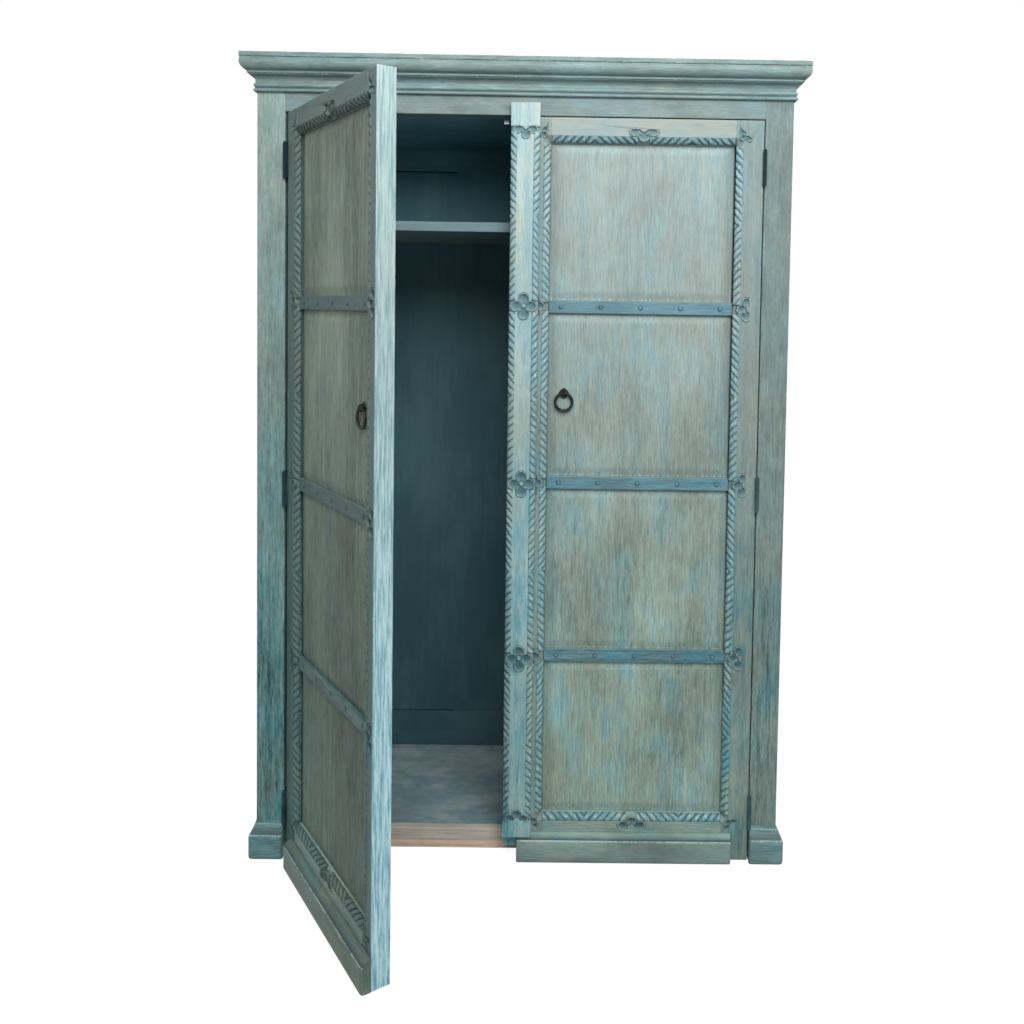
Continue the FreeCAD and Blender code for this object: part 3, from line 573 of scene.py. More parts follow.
class FinishBook:
    """Every finish of the cabinet, made once for each grain and leaf."""

    def __init__(self) -> None:
        """Mix the finishes."""
        self.paints = {name: BrushedPaint(name + "_paint", **values) for name, values in PAINTS.items()}
        # The left block's lighter copy of the plinth paint is painted light: the block stands in less light
        # than the right one.
        self.paints["left_plinth"] = replace(self.paints["plinth"], name="left_plinth_paint",
                                             tone=(1.24, 1.32, 1.32))
        self.inside = InsidePaint(
            "inside_paint", coat=(0.047, 0.124, 0.152), thin_coat=(0.077, 0.170, 0.198), high_gain=0.70,
            low_loss=0.12)
        self.chalky_floor = InsidePaint(
            "chalky_floor", coat=(0.18, 0.29, 0.32), thin_coat=(0.26, 0.36, 0.38), chalk=(0.46, 0.53, 0.53),
            chalk_amount=0.7)
        self.shelf_paint = InsidePaint(
            "shelf_paint", coat=(0.15, 0.23, 0.25), thin_coat=(0.24, 0.34, 0.35),
            worn_edge=(0.42, 0.52, 0.52))
        # The bare woods' pale colours are partly painted light, for the bottom rails in the shade between the
        # doors.
        self.bare_grey = BareWood(
            "bare_grey", early=(0.66, 0.60, 0.51), late=(0.46, 0.40, 0.33), grime=(0.34, 0.34, 0.32),
            grime_amount=0.4)
        self.bare_pink = BareWood("bare_pink", early=(0.84, 0.65, 0.50), late=(0.62, 0.46, 0.35))
        self.iron = Metal(
            "black_iron", skin=(0.018, 0.018, 0.019), rubbed=(0.09, 0.088, 0.085), roughness=0.5,
            metallic=0.7)
        self.catch_steel = Metal(
            "catch_steel", skin=(0.45, 0.46, 0.46), rubbed=(0.65, 0.66, 0.65), roughness=0.35, metallic=0.9)
        self._made: dict[tuple[Finish, Grain, float], bpy.types.Material] = {}

    def get(self, finish: Finish, grain: Grain = Grain.UPRIGHT, turn: float = 0.0) -> bpy.types.Material:
        """The material of a finish, from the book.

        Args:
            finish: One of the book's finishes.
            grain: Grain direction.
            turn: Leaf angle in radians.

        Returns:
            The material.
        """
        key = (finish, grain, turn)
        if key not in self._made:
            self._made[key] = finish.material(grain, turn)
        return self._made[key]


# Pieces


class Workshop:
    """Turns meshes into pieces that ride on the frame."""

    def __init__(self) -> None:
        """Start with an empty list of pieces."""
        self.finishes = FinishBook()
        self.count = 0

    def add(self, name: str, mesh: bpy.types.Mesh, material: bpy.types.Material, body: str, slot: str,
            replaced: Sequence[str] = ()) -> bpy.types.Object:
        """Place one finished piece.

        Args:
            name: The piece's name.
            mesh: Its mesh, already in place.
            material: Its only material.
            body: CAD body that carries it.
            slot: The record's material slot; not used.
            replaced: CAD nodes that it stands for.

        Returns:
            The piece.
        """
        mesh.materials.clear()
        mesh.materials.append(material)
        piece = bpy.data.objects.new(name, mesh)
        bpy.context.scene.collection.objects.link(piece)
        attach(piece, body)
        for node in replaced:
            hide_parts(node)
        self.count += 1
        log.info("%s rides on %s: %d faces", name, body, len(mesh.polygons))
        return piece


@dataclass(frozen=True)
class Easing:
    """How a joiner and long use soften the arrises of a timber."""

    radius: float = 1.3 * MM
    band: float = 5.0 * MM
    sharp: float = math.radians(28)
    smooth_under: float = math.radians(50)
    flat_under: float = math.radians(0.4)
    narrowest: float = 4.0 * MM
    narrow_wear: float = 0.75
    corner_glaze: float = 0.85
    band_share: float = 0.3
    segments: int = 2

    def mesh(self, node: str) -> bpy.types.Mesh:
        """An eased copy of a CAD node, with its worn arrises painted in an attribute.

        Args:
            node: The CAD node's name.

        Returns:
            The new mesh.
        """
        mesh = bpy.data.meshes.new(node + "_eased")
        with edited(mesh, frame["nodes"][node].data) as work:
            bmesh.ops.remove_doubles(work, verts=work.verts, dist=MERGE_DISTANCE)
            bmesh.ops.dissolve_limit(work, angle_limit=self.flat_under, verts=work.verts, edges=work.edges)
            arris = work.verts.layers.float.new("arris")
            hollow = work.verts.layers.float.new("hollow")
            # Outer arrises get wear; inner corners get dark glaze and painted shade.
            for edge in self.sharp_edges(work):
                for vert in edge.verts:
                    if edge.is_convex:
                        vert[arris] = 1.0
                    else:
                        vert[hollow] = self.corner_glaze
            for flat in self.flats(work):
                self.inset(work, flat, arris, hollow)
            arrises = [edge for edge in self.sharp_edges(work) if edge.is_convex]
            bmesh.ops.bevel(work, geom=arrises, offset=self.radius, offset_type="OFFSET",
                            segments=self.segments, profile=0.5, affect="EDGES", clamp_overlap=True)
        smooth(mesh, self.smooth_under)
        return mesh

    def sharp_edges(self, work: bmesh.types.BMesh) -> list[bmesh.types.BMEdge]:
        """Edges where two faces meet at more than the sharp angle."""
        return [edge for edge in work.edges if edge.is_manifold and edge.calc_face_angle(0.0) > self.sharp]

    @staticmethod
    def flats(work: bmesh.types.BMesh) -> list[list[bmesh.types.BMFace]]:
        """Group the faces that lie in one plane and touch.

        Args:
            work: The timber's editable mesh.

        Returns:
            The groups.
        """
        flats = []
        seen: set[bmesh.types.BMFace] = set()
        for start in work.faces:
            if start in seen:
                continue
            group = [start]
            seen.add(start)
            for face in group:
                for edge in face.edges:
                    for other in edge.link_faces:
                        if other not in seen and other.normal.dot(start.normal) > 1 - 1e-5:
                            seen.add(other)
                            group.append(other)
            flats.append(group)
        return flats

    def inset(self, work: bmesh.types.BMesh, flat: list[bmesh.types.BMFace], arris: Any, hollow: Any) -> None:
        """Add the inner line of the worn band to one flat, if it is wide enough.

        Args:
            work: The timber's editable mesh.
            flat: Faces in one plane.
            arris: Layer of the wear.
            hollow: Layer of the glaze.
        """
        members = set(flat)
        rim = sum(edge.calc_length() for face in flat for edge in face.edges
                  if not all(other in members for other in edge.link_faces))
        width = 2 * sum(face.calc_area() for face in flat) / max(rim, MERGE_DISTANCE)
        if width < self.narrowest:
            for vert in {vert for face in flat for vert in face.verts}:
                vert[arris] *= self.narrow_wear
            return
        bmesh.ops.inset_region(work, faces=flat, thickness=min(self.band, self.band_share * width),
                               use_even_offset=True, use_boundary=True)
        for face in flat:
            for vert in face.verts:
                vert[arris] = vert[hollow] = 0.0


def smooth(mesh: bpy.types.Mesh, angle: float) -> None:
    """Shade a mesh smooth, with sharp edges over an angle."""
    mesh.polygons.foreach_set("use_smooth", [True] * len(mesh.polygons))
    mesh.set_sharp_from_angle(angle=angle)
    mesh.update()


@contextmanager
def edited(mesh: bpy.types.Mesh, source: bpy.types.Mesh | None = None) -> Iterator[bmesh.types.BMesh]:
    """Open a mesh for editing and write the result to it at the end.

    Args:
        mesh: The mesh to write.
        source: Mesh to start from, if it isn't the same one.

    Yields:
        The editable copy.
    """
    work = bmesh.new()
    work.from_mesh(source or mesh)
    yield work
    work.to_mesh(mesh)
    work.free()


def modified(mesh: bpy.types.Mesh, kind: str, settings: dict[str, Any],
             inputs: dict[str, Any] | None = None) -> bpy.types.Mesh:
    """Put a mesh through one modifier.

    Args:
        mesh: The mesh; it is removed afterwards.
        kind: The modifier's type.
        settings: The modifier's properties.
        inputs: Values of a node tree's inputs by the sockets' identifiers.

    Returns:
        The result as a plain mesh.
    """
    holder = bpy.data.objects.new("holder", mesh)
    bpy.context.scene.collection.objects.link(holder)
    modifier = holder.modifiers.new("change", kind)
    for key, value in settings.items():
        setattr(modifier, key, value)
    for identifier, value in (inputs or {}).items():
        modifier[identifier] = value
    graph = bpy.context.evaluated_depsgraph_get()
    result = bpy.data.meshes.new_from_object(holder.evaluated_get(graph), depsgraph=graph)
    holder.modifiers.clear()
    bpy.data.objects.remove(holder)
    bpy.data.meshes.remove(mesh)
    return result


def levelled(mesh: bpy.types.Mesh) -> bpy.types.Mesh:
    """Weight a mesh's normals by area, so that flats stay flat beside their eased arrises."""
    return modified(mesh, "WEIGHTED_NORMAL", {"keep_sharp": True, "weight": 100})


def outwards(mesh: bpy.types.Mesh) -> None:
    """Point every face of a closed mesh outwards."""
    with edited(mesh) as work:
        bmesh.ops.remove_doubles(work, verts=work.verts, dist=MERGE_DISTANCE)
        bmesh.ops.recalc_face_normals(work, faces=work.faces)


def round_steps(count: int) -> list[float]:
    """Angles that divide a whole turn evenly."""
    return [2 * math.pi * step / count for step in range(count)]


def painted(mesh: bpy.types.Mesh, name: str, amounts: Sequence[float]) -> None:
    """Store a number for each point of a mesh."""
    mesh.attributes.new(name, "FLOAT", "POINT").data.foreach_set("value", list(amounts))


def corners(points: Iterable[Vector]) -> Box:
    """Lowest and highest corner of the box round some points."""
    axes = list(zip(*points))
    return Vector([min(axis) for axis in axes]), Vector([max(axis) for axis in axes])


def merged(name: str, meshes: Iterable[bpy.types.Mesh]) -> bpy.types.Mesh:
    """Join several meshes into one and remove them.

    Args:
        name: Name of the joined mesh.
        meshes: Meshes that are already in place.

    Returns:
        The joined mesh.
    """
    work = bmesh.new()
    for mesh in meshes:
        work.from_mesh(mesh)
        bpy.data.meshes.remove(mesh)
    joined = bpy.data.meshes.new(name)
    work.to_mesh(joined)
    work.free()
    return joined


def grid_mesh(name: str, rows: Sequence[Sequence[Vector]], closed_rows: bool, closed_columns: bool,
              attributes: dict[str, Sequence[float]] | None = None) -> bpy.types.Mesh:
    """A skin over rows of points.

    Args:
        name: Name of the mesh.
        rows: Rows with the same number of points.
        closed_rows: Whether each row runs back to its start.
        closed_columns: Whether the last row joins the first; otherwise both ends are capped.
        attributes: Numbers for each point, row by row.

    Returns:
        The mesh.
    """
    count = len(rows[0])
    points = [point for row in rows for point in row]
    faces: list[tuple[int, ...]] = []
    row_steps = len(rows) if closed_columns else len(rows) - 1
    column_steps = count if closed_rows else count - 1
    for row in range(row_steps):
        below = row * count
        above = (row + 1) % len(rows) * count
        for column in range(column_steps):
            following = (column + 1) % count
            faces.append((below + column, below + following, above + following, above + column))
    if not closed_columns:
        faces.append(tuple(reversed(range(count))))
        faces.append(tuple(range((len(rows) - 1) * count, len(rows) * count)))
    mesh = bpy.data.meshes.new(name)
    mesh.from_pydata([tuple(point) for point in points], [], faces)
    for key, numbers in (attributes or {}).items():
        painted(mesh, key, numbers)
    mesh.validate()
    return mesh


# Geometry Nodes


class NodeModifier:
    """A Geometry Nodes tree with named inputs, run on plain meshes."""

    def __init__(self, name: str, sizes: Sequence[tuple[str, str]]) -> None:
        """Args:
            name: The tree's name.
            sizes: Name and socket type of each input.
        """
        self.group = bpy.data.node_groups.new(name, "GeometryNodeTree")
        self.group.interface.new_socket("Geometry", in_out="INPUT", socket_type="NodeSocketGeometry")
        self.group.interface.new_socket("Geometry", in_out="OUTPUT", socket_type="NodeSocketGeometry")
        self.identifiers = {}
        for label, kind in sizes:
            socket = self.group.interface.new_socket(label, in_out="INPUT", socket_type=kind)
            self.identifiers[label] = socket.identifier
        self.tree = Tree(self.group)
        self.entry = self.group.nodes.new("NodeGroupInput")

    def input(self, label: str) -> Value:
        """The value of a named input."""
        return Value(self.tree, self.entry.outputs[label])

    def close(self, geometry: Value, material: Value) -> None:
        """End the tree in Realize Instances and Set Material."""
        real = self.tree.node("GeometryNodeRealizeInstances", None, {"Geometry": geometry})
        dressed = self.tree.node("GeometryNodeSetMaterial", None, {"Geometry": real, "Material": material})
        self.tree.node("NodeGroupOutput", None, {"Geometry": dressed})

    def run(self, base: bpy.types.Mesh, values: dict[str, Any]) -> bpy.types.Mesh:
        """Evaluate the tree on a mesh."""
        return modified(base, "NODES", {"node_group": self.group},
                        {self.identifiers[label]: value for label, value in values.items()})


class RopeBead(NodeModifier):
    """A half-round bead carved as twisted strands that turn about at its middle."""

    def __init__(self) -> None:
        """Build the tree: a capped tube pressed flat behind and carved in front."""
        numbers = ("Length", "Band", "Bulge", "Pitch", "Slant", "Groove", "Step", "Wander", "Place")
        super().__init__("rope_bead", [(label, "NodeSocketFloat") for label in numbers]
                         + [("Material", "NodeSocketMaterial")])
        tree = self.tree
        length, band, pitch = self.input("Length"), self.input("Band"), self.input("Pitch")
        rings = (length / self.input("Step")).rounded_up()
        tube = tree.node("GeometryNodeMeshCylinder", {"fill_type": "NGON"},
                         {"Vertices": 18, "Side Segments": rings, "Radius": 1.0, "Depth": 1.0}, "Mesh")
        across, round_front, along_share = tree.split(tree.node("GeometryNodeInputPosition"))
        along = along_share * length
        offset = across * band * 0.5
        spot = tree.joined(across * 0.5, self.input("Place"), along * 55.0)
        shake = tree.node("ShaderNodeTexNoise", None, {"Vector": spot, "Scale": 1.0, "Detail": 1.0}, 0) - 0.5
        phase = (abs(along) - offset * self.input("Slant")) / pitch + shake * self.input("Wander")
        saw = abs(phase.fraction() * 2 - 1)
        strand = 1 - saw ** 3.8
        crown = round_front.at_least(0.0) ** 0.8
        carved = 1 - self.input("Groove") * (1 - strand)
        height = crown * carved * self.input("Bulge") + round_front.at_most(0.0) * 0.0012
        for label, amount in (("hollow", (saw - 0.60).at_least(0.0) * 2.7),
                              ("arris", strand ** 2 * crown * 0.9)):
            tube = tree.node("GeometryNodeStoreNamedAttribute", {"data_type": "FLOAT", "domain": "POINT"},
                             {"Geometry": tube, "Name": label, "Value": amount})
        shaped = tree.node("GeometryNodeSetPosition", None,
                           {"Geometry": tube, "Position": tree.joined(offset, height, along)})
        smoothed = tree.node("GeometryNodeSetShadeSmooth", None, {"Geometry": shaped})
        self.close(smoothed, self.input("Material"))


class SetOut(NodeModifier):
    """Copies of one piece set out on points, each with its own turn and size."""

    def __init__(self) -> None:
        """Build the tree: instances on points, turned about their own axis."""
        super().__init__("set_out", [("Piece", "NodeSocketObject"), ("Wobble", "NodeSocketFloat"),
                                     ("Seed", "NodeSocketInt"), ("Material", "NodeSocketMaterial")])
        tree = self.tree
        piece = tree.node("GeometryNodeObjectInfo", {"transform_space": "ORIGINAL"},
                          {"Object": self.input("Piece"), "As Instance": True}, "Geometry")
        turn = tree.node("GeometryNodeInputNamedAttribute", {"data_type": "FLOAT"}, {"Name": "turn"}, 0)
        size = tree.node("GeometryNodeInputNamedAttribute", {"data_type": "FLOAT_VECTOR"}, {"Name": "size"},
                         0)
        tip = tree.node("FunctionNodeRandomValue", {"data_type": "FLOAT"},
                        {"Min": -1.0, "Max": 1.0, "Seed": self.input("Seed")}, "Value") * self.input("Wobble")
        copies = tree.node("GeometryNodeInstanceOnPoints", None,
                           {"Points": self.input("Geometry"), "Instance": piece,
                            "Rotation": tree.joined(tip, turn, tip * 0.7), "Scale": size})
        self.close(copies, self.input("Material"))

    def on_points(self, places: Sequence[Place], piece: bpy.types.Mesh, material: bpy.types.Material,
                  wobble: float = 0.0, seed: int = 0) -> bpy.types.Mesh:
        """Set out a piece.

        Args:
            places: Point, turn about the depth axis and size of each copy.
            piece: Mesh of one copy, made at the origin.
            material: Material of the copies.
            wobble: Largest tilt in radians.
            seed: Seed of the tilts.

        Returns:
            All copies in one mesh.
        """
        base = bpy.data.meshes.new("points")
        base.from_pydata([tuple(place[0]) for place in places], [], [])
        painted(base, "turn", [place[1] for place in places])
        sizes = [number for place in places for number in place[2]]
        base.attributes.new("size", "FLOAT_VECTOR", "POINT").data.foreach_set("vector", sizes)
        pattern = bpy.data.objects.new("pattern", piece)
        result = self.run(base, {"Piece": pattern, "Wobble": wobble, "Seed": seed, "Material": material})
        bpy.data.objects.remove(pattern)
        bpy.data.meshes.remove(piece)
        return result


# Carving


@dataclass(frozen=True)
class Flower:
    """A quatrefoil of four gouged petals round a boss, inside a raised rim and a scored line.

    The half flower is cut through its middle, where the wood beside it is left plain.
    """

    petals: tuple[tuple[float, float], ...] = ((0.0, 19.5 * MM), (0.5, 19.5 * MM), (1.0, 19.5 * MM),
                                               (1.5, 19.5 * MM))
    petal_radius: float = 12.0 * MM
    notch: float = 14.0 * MM
    rim: float = 2.7 * MM
    rim_rise: float = 0.7 * MM
    score: float = 1.5 * MM
    score_depth: float = 1.5 * MM
    bowl_depth: float = 5.2 * MM
    web_depth: float = 1.6 * MM
    boss: float = 6.2 * MM
    boss_rise: float = 0.9 * MM
    moat: float = 8.8 * MM
    moat_depth: float = 3.6 * MM
    lap: float = 0.4 * MM
    skirt: float = 12.0 * MM
    half: bool = False
    directions: int = 120
    bowl_shares: tuple[float, ...] = (0.14, 0.28, 0.42, 0.56, 0.68, 0.78, 0.86, 0.92, 0.97, 1.0)
    boss_shares: tuple[float, ...] = (0.25, 0.5, 0.75, 0.9, 1.0)
    rim_shares: tuple[float, ...] = (0.12, 0.35, 0.65, 1.0)
    score_shares: tuple[float, ...] = (0.25, 0.5, 0.75, 1.0)

    @property
    def reach(self) -> float:
        """Distance from the centre to the outer end of a petal's scored line."""
        return max(distance for _, distance in self.petals) + self.petal_radius + self.rim + self.score

    def petal_centres(self) -> list[Vector]:
        """Middles of the petals on the flower's plane; their directions are in half turns."""
        return [distance * Vector((math.cos(turn * math.pi), math.sin(turn * math.pi)))
                for turn, distance in self.petals]

    def edge(self, angle: float) -> float:
        """Distance from the centre to the wall of the sunk petals.

        Args:
            angle: Direction in radians.

        Returns:
            The distance in metres.
        """
        way = Vector((math.cos(angle), math.sin(angle)))
        reach = self.notch
        for centre in self.petal_centres():
            beside = self.petal_radius ** 2 - (centre.length_squared - centre.dot(way) ** 2)
            if beside > 0:
                reach = max(reach, centre.dot(way) + math.sqrt(beside))
        return reach

    def surface(self, radius: float, angle: float) -> tuple[float, float, float]:
        """Carved face at a place.

        Args:
            radius: Distance from the centre.
            angle: Direction in radians.

        Returns:
            Height over the face of the timber, hollow from 0 to 1 and wear from 0 to 1.
        """
        edge = self.edge(angle)
        if radius <= self.boss:
            dome = math.sqrt(max(0.0, 1 - (radius / self.boss) ** 2))
            return self.boss_rise - (self.moat_depth + self.boss_rise) * (1 - dome), 0.35 * (1 - dome), dome
        if radius <= self.moat:
            return -self.moat_depth, 1.0, 0.0
        if radius < edge * 0.999:
            place = radius * Vector((math.cos(angle), math.sin(angle)))
            away = min((place - centre).length for centre in self.petal_centres()) / self.petal_radius
            bowl = math.sqrt(max(0.0, 1 - away ** 2))
            return -self.web_depth - (self.bowl_depth - self.web_depth) * bowl, 0.35 + 0.65 * bowl, 0.0
        if radius <= edge + self.rim:
            share = (radius - edge) / self.rim
            return self.rim_rise * math.sin(math.pi * min(1.0, 0.12 + share * 0.88)), 0.0, 0.8
        share = (radius - edge - self.rim) / self.score
        return -self.score_depth * math.sin(math.pi * share) - 0.05 * MM, math.sin(math.pi * share), 0.2

    def radii(self, angle: float) -> list[float]:
        """Distances of the mesh's rings.

        Args:
            angle: Direction in radians.

        Returns:
            The distances from the inside out.
        """
        edge = self.edge(angle)
        start = self.boss if self.half else 0.0
        rings = [] if self.half else [self.boss * share for share in self.boss_shares]
        rings += [start - self.lap] if self.half else []
        rings += [self.boss + 0.4 * MM, (self.boss + self.moat) / 2, self.moat]
        rings += [self.moat + (edge - self.moat) * share for share in self.bowl_shares]
        rings += [edge + self.rim * share for share in self.rim_shares]
        rings += [edge + self.rim + self.score * share for share in self.score_shares]
        return rings + [edge + self.rim + self.score + self.lap]

    def angles(self) -> list[float]:
        """Directions of the mesh's spokes: all round, or the lower half and a little over."""
        if not self.half:
            return round_steps(self.directions)
        steps = self.directions // 2
        return [-math.pi * step / steps for step in range(steps, -1, -1)]

    def lapped(self, radius: float, angle: float) -> Vector:
        """Place on the flower's plane; a half flower's flat side goes a little into the wood."""
        across, rise = radius * math.cos(angle), radius * math.sin(angle)
        if self.half and abs(rise) < 1e-6:
            rise = self.lap
        return Vector((across, 0.0, rise))

    def mesh(self) -> bpy.types.Mesh:
        """Build the flower at the origin, facing forwards.

        Returns:
            A closed plug for the flower's pocket.
        """
        work = bmesh.new()
        hollow_layer = work.verts.layers.float.new("hollow")
        arris_layer = work.verts.layers.float.new("arris")
        spokes = []
        for angle in self.angles():
            spoke = []
            for index, radius in enumerate(self.radii(angle)):
                height, hollow, worn = self.surface(radius, angle)
                if self.half and index == 0:
                    height, hollow, worn = -self.moat_depth, 1.0, 0.0
                vert = work.verts.new(self.lapped(radius, angle) - Vector((0.0, height, 0.0)))
                vert[hollow_layer] = hollow
                vert[arris_layer] = worn
                spoke.append(vert)
            spokes.append(spoke)
        pairs = list(zip(spokes, spokes[1:] + ([] if self.half else spokes[:1])))
        for spoke, following in pairs:
            for index in range(len(spoke) - 1):
                work.faces.new((spoke[index], spoke[index + 1], following[index + 1], following[index]))
        if self.half:
            rim = [spoke[-1] for spoke in spokes] + spokes[-1][-2::-1]
            rim += [spoke[0] for spoke in spokes[-2::-1]] + spokes[0][1:-1]
        else:
            top = work.verts.new((0.0, -self.boss_rise, 0.0))
            top[arris_layer] = 1.0
            for spoke, following in pairs:
                work.faces.new((top, spoke[0], following[0]))
            rim = [spoke[-1] for spoke in spokes]
        foot = [work.verts.new((vert.co.x, self.skirt, vert.co.z)) for vert in rim]
        for index, vert in enumerate(rim):
            following = (index + 1) % len(rim)
            work.faces.new((vert, foot[index], foot[following], rim[following]))
        work.faces.new(list(reversed(foot)))
        bmesh.ops.recalc_face_normals(work, faces=work.faces)
        mesh = bpy.data.meshes.new("flower")
        work.to_mesh(mesh)
        work.free()
        smooth(mesh, math.radians(50))
        return mesh

    def pocket(self, place: Vector, turn: float, size: Vector) -> bpy.types.Mesh:
        """Cutter for the flower's pocket in the timber.

        Args:
            place: The flower's centre on the face.
            turn: Its turn about the depth axis.
            size: Its scale.

        Returns:
            The cutter in place.
        """
        outline = [self.lapped(self.radii(angle)[-2], angle) for angle in self.angles()]
        if self.half:
            outline[0].z = outline[-1].z = 0.0
            dip = [Vector((self.boss * math.cos(angle), 0.0, self.boss * math.sin(angle)))
                   for angle in reversed(self.angles()[::4])]
            outline += dip
        front = [Vector((point.x, -0.02, point.z)) for point in outline]
        back = [Vector((point.x, self.skirt * 0.8, point.z)) for point in outline]
        count = len(outline)
        faces = [tuple(range(count)), tuple(reversed(range(count, 2 * count)))]
        faces += [(index, (index + 1) % count, count + (index + 1) % count, count + index)
                  for index in range(count)]
        mesh = bpy.data.meshes.new("pocket")
        mesh.from_pydata([tuple(point) for point in front + back], [], faces)
        mesh.transform(Matrix.Translation(place) @ Matrix.Rotation(turn, 4, "Y")
                       @ Matrix.Diagonal((*size, 1.0)))
        return mesh


def half_flower() -> Flower:
    """The half flower of the borders: three smaller petals round a plain half disc."""
    return Flower(half=True, petals=((-0.127, 20.6 * MM), (-0.5, 21.0 * MM), (-0.873, 20.6 * MM)),
                  petal_radius=9.8 * MM, notch=13.0 * MM, boss=8.6 * MM, moat=9.6 * MM)


def pocketed(mesh: bpy.types.Mesh, pockets: Sequence[bpy.types.Mesh], angle: float,
             crossing: bool = False) -> bpy.types.Mesh:
    """Cut pockets into a timber.

    Args:
        mesh: The timber; it is removed afterwards.
        pockets: Cutters, which don't touch each other and are kept.
        angle: Angle over which edges stay sharp.
        crossing: Whether the timber's own faces may cross after easing.

    Returns:
        The cut timber.
    """
    cutter_mesh = bpy.data.meshes.new("cutters")
    cutters = bmesh.new()
    for pocket in pockets:
        cutters.from_mesh(pocket)
    bmesh.ops.recalc_face_normals(cutters, faces=cutters.faces)
    bmesh.ops.triangulate(cutters, faces=cutters.faces)
    cutters.to_mesh(cutter_mesh)
    cutters.free()
    with edited(mesh) as work:
        bmesh.ops.triangulate(work, faces=work.faces)
    cutter = bpy.data.objects.new("cutters", cutter_mesh)
    bpy.context.scene.collection.objects.link(cutter)
    result = modified(mesh, "BOOLEAN", {"operation": "DIFFERENCE", "solver": "EXACT", "use_self": crossing,
                                        "object": cutter})
    bpy.data.objects.remove(cutter)
    bpy.data.meshes.remove(cutter_mesh)
    with edited(result) as work:
        bmesh.ops.triangulate(work, faces=work.faces)
    smooth(result, angle)
    return result


@dataclass(frozen=True)
class NailHead:
    """A low forged head, slightly out of round."""

    radius: float = 5.6 * MM
    rise: float = 2.8 * MM
    sides: int = 14
    profile: tuple[tuple[float, float], ...] = ((1.18, -0.25), (1.16, 0.02), (1.01, 0.10),
                                                (1.0, 0.22), (0.93, 0.45), (0.74, 0.78),
                                                (0.45, 0.96), (0.16, 1.0))

    def mesh(self) -> bpy.types.Mesh:
        """Build one head at the origin.

        Returns:
            The head, standing forwards from its seat.
        """
        rows = []
        wears = []
        glazes_and_shade = []
        for radius_share, rise_share in self.profile:
            row = []
            for angle in round_steps(self.sides):
                bump = 1 + 0.05 * math.sin(3 * angle + 1.0)
                reach = self.radius * radius_share * bump
                row.append(Vector((reach * math.cos(angle), -self.rise * rise_share,
                                   reach * math.sin(angle))))
                wears.append(max(0.0, rise_share - 0.4) * 1.3)
                # dark ring round the head's foot: glaze and the head's painted shadow
                glazes_and_shade.append(min(1.0, 1.4 * (1 - rise_share)))
            rows.append(row)
        mesh = grid_mesh("nail_head", rows, True, False, {"arris": wears, "hollow": glazes_and_shade})
        smooth(mesh, math.radians(60))
        return mesh


@dataclass(frozen=True)
class SoftPanel:
    """A fielded panel whose border rises softly under many coats of paint."""

    rise: float = 27.0 * MM
    glaze: float = 42.0 * MM
    glaze_depth: float = 0.34
    smear_low: float = 1.0 * MM
    smear_high: float = 11.0 * MM
    smear_wear: float = 0.95
    side_wear: float = 0.55
    near: tuple[float, ...] = (0.0, 1.5, 4.0, 7.0, 10.0, 13.0, 16.0, 19.0, 22.0, 25.0, 28.0, 34.0, 42.0, 56.0,
                               78.0)
    wide_steps: int = 8

    @staticmethod
    def step(value: float, low: float, high: float) -> float:
        """Smooth step from 0 at low to 1 at high."""
        share = min(1.0, max(0.0, (value - low) / (high - low)))
        return share * share * (3 - 2 * share)

    def smear(self, edge: float) -> float:
        """Share of rough pale paint at a distance from the opening's edge."""
        return (self.step(edge, self.smear_low, 2.5 * self.smear_low)
                * (1 - self.step(edge, 2.5 * self.smear_low, self.smear_high)))

    def stations(self, low: float, high: float) -> list[float]:
        """Grid lines across an opening, close together near its edges."""
        near = [distance * MM for distance in self.near]
        first, last = low + near[-1], high - near[-1]
        middle = [first + (last - first) * step / self.wide_steps for step in range(1, self.wide_steps)]
        return [low + distance for distance in near] + middle + [high - distance for distance in near[::-1]]

    def mesh(self, low: Vector, high: Vector, reach: float, depths: Sequence[float]) -> bpy.types.Mesh:
        """Build one panel with its tongue.

        Args:
            low: Lower left corner of the opening.
            high: Upper right corner of the opening.
            reach: Length of the tongue.
            depths: Depth of the field, of the border, of the tongue's front and of the back.

        Returns:
            The panel's mesh.
        """
        field_depth, border, tongue, back = depths
        columns = self.stations(low.x, high.x)
        heights = self.stations(low.z, high.z)
        rows, hollows, wears = [], [], []
        levels = [(low.z - reach, False), (low.z, False)] + [(z, True) for z in heights]
        levels += [(high.z, False), (high.z + reach, False)]
        for z, shown in levels:
            row = [Vector((low.x - reach, back, z)), Vector((low.x - reach, tongue, z)),
                   Vector((low.x, tongue, z))]
            hollow, wear = [1.0] * 3, [0.0] * 3
            for x in columns:
                beside = max(0.0, min(x - low.x, high.x - x))
                edge = max(0.0, min(beside, z - low.z, high.z - z))
                rise = self.step(edge, 0.5 * MM, self.rise)
                row.append(Vector((x, border + (field_depth - border) * rise if shown else tongue, z)))
                # Dark olive glaze near the sides, and painted shade within 3 mm of the frame, in the crease
                hollow.append(self.glaze_depth * (1 - self.step(beside, 0.0, self.glaze))
                              + 0.4 * (1 - self.step(edge, 0.0, 3 * MM)))
                wear.append(max(self.smear_wear * self.smear(z - low.z), self.side_wear * self.smear(beside)))
            row += [Vector((high.x, tongue, z)), Vector((high.x + reach, tongue, z)),
                    Vector((high.x + reach, back, z))]
            rows.append(row)
            hollows += hollow + [1.0] * 3
            wears += wear + [0.0] * 3
        mesh = grid_mesh("panel", rows, True, False, {"hollow": hollows, "arris": wears})
        outwards(mesh)
        smooth(mesh, math.radians(40))
        return mesh
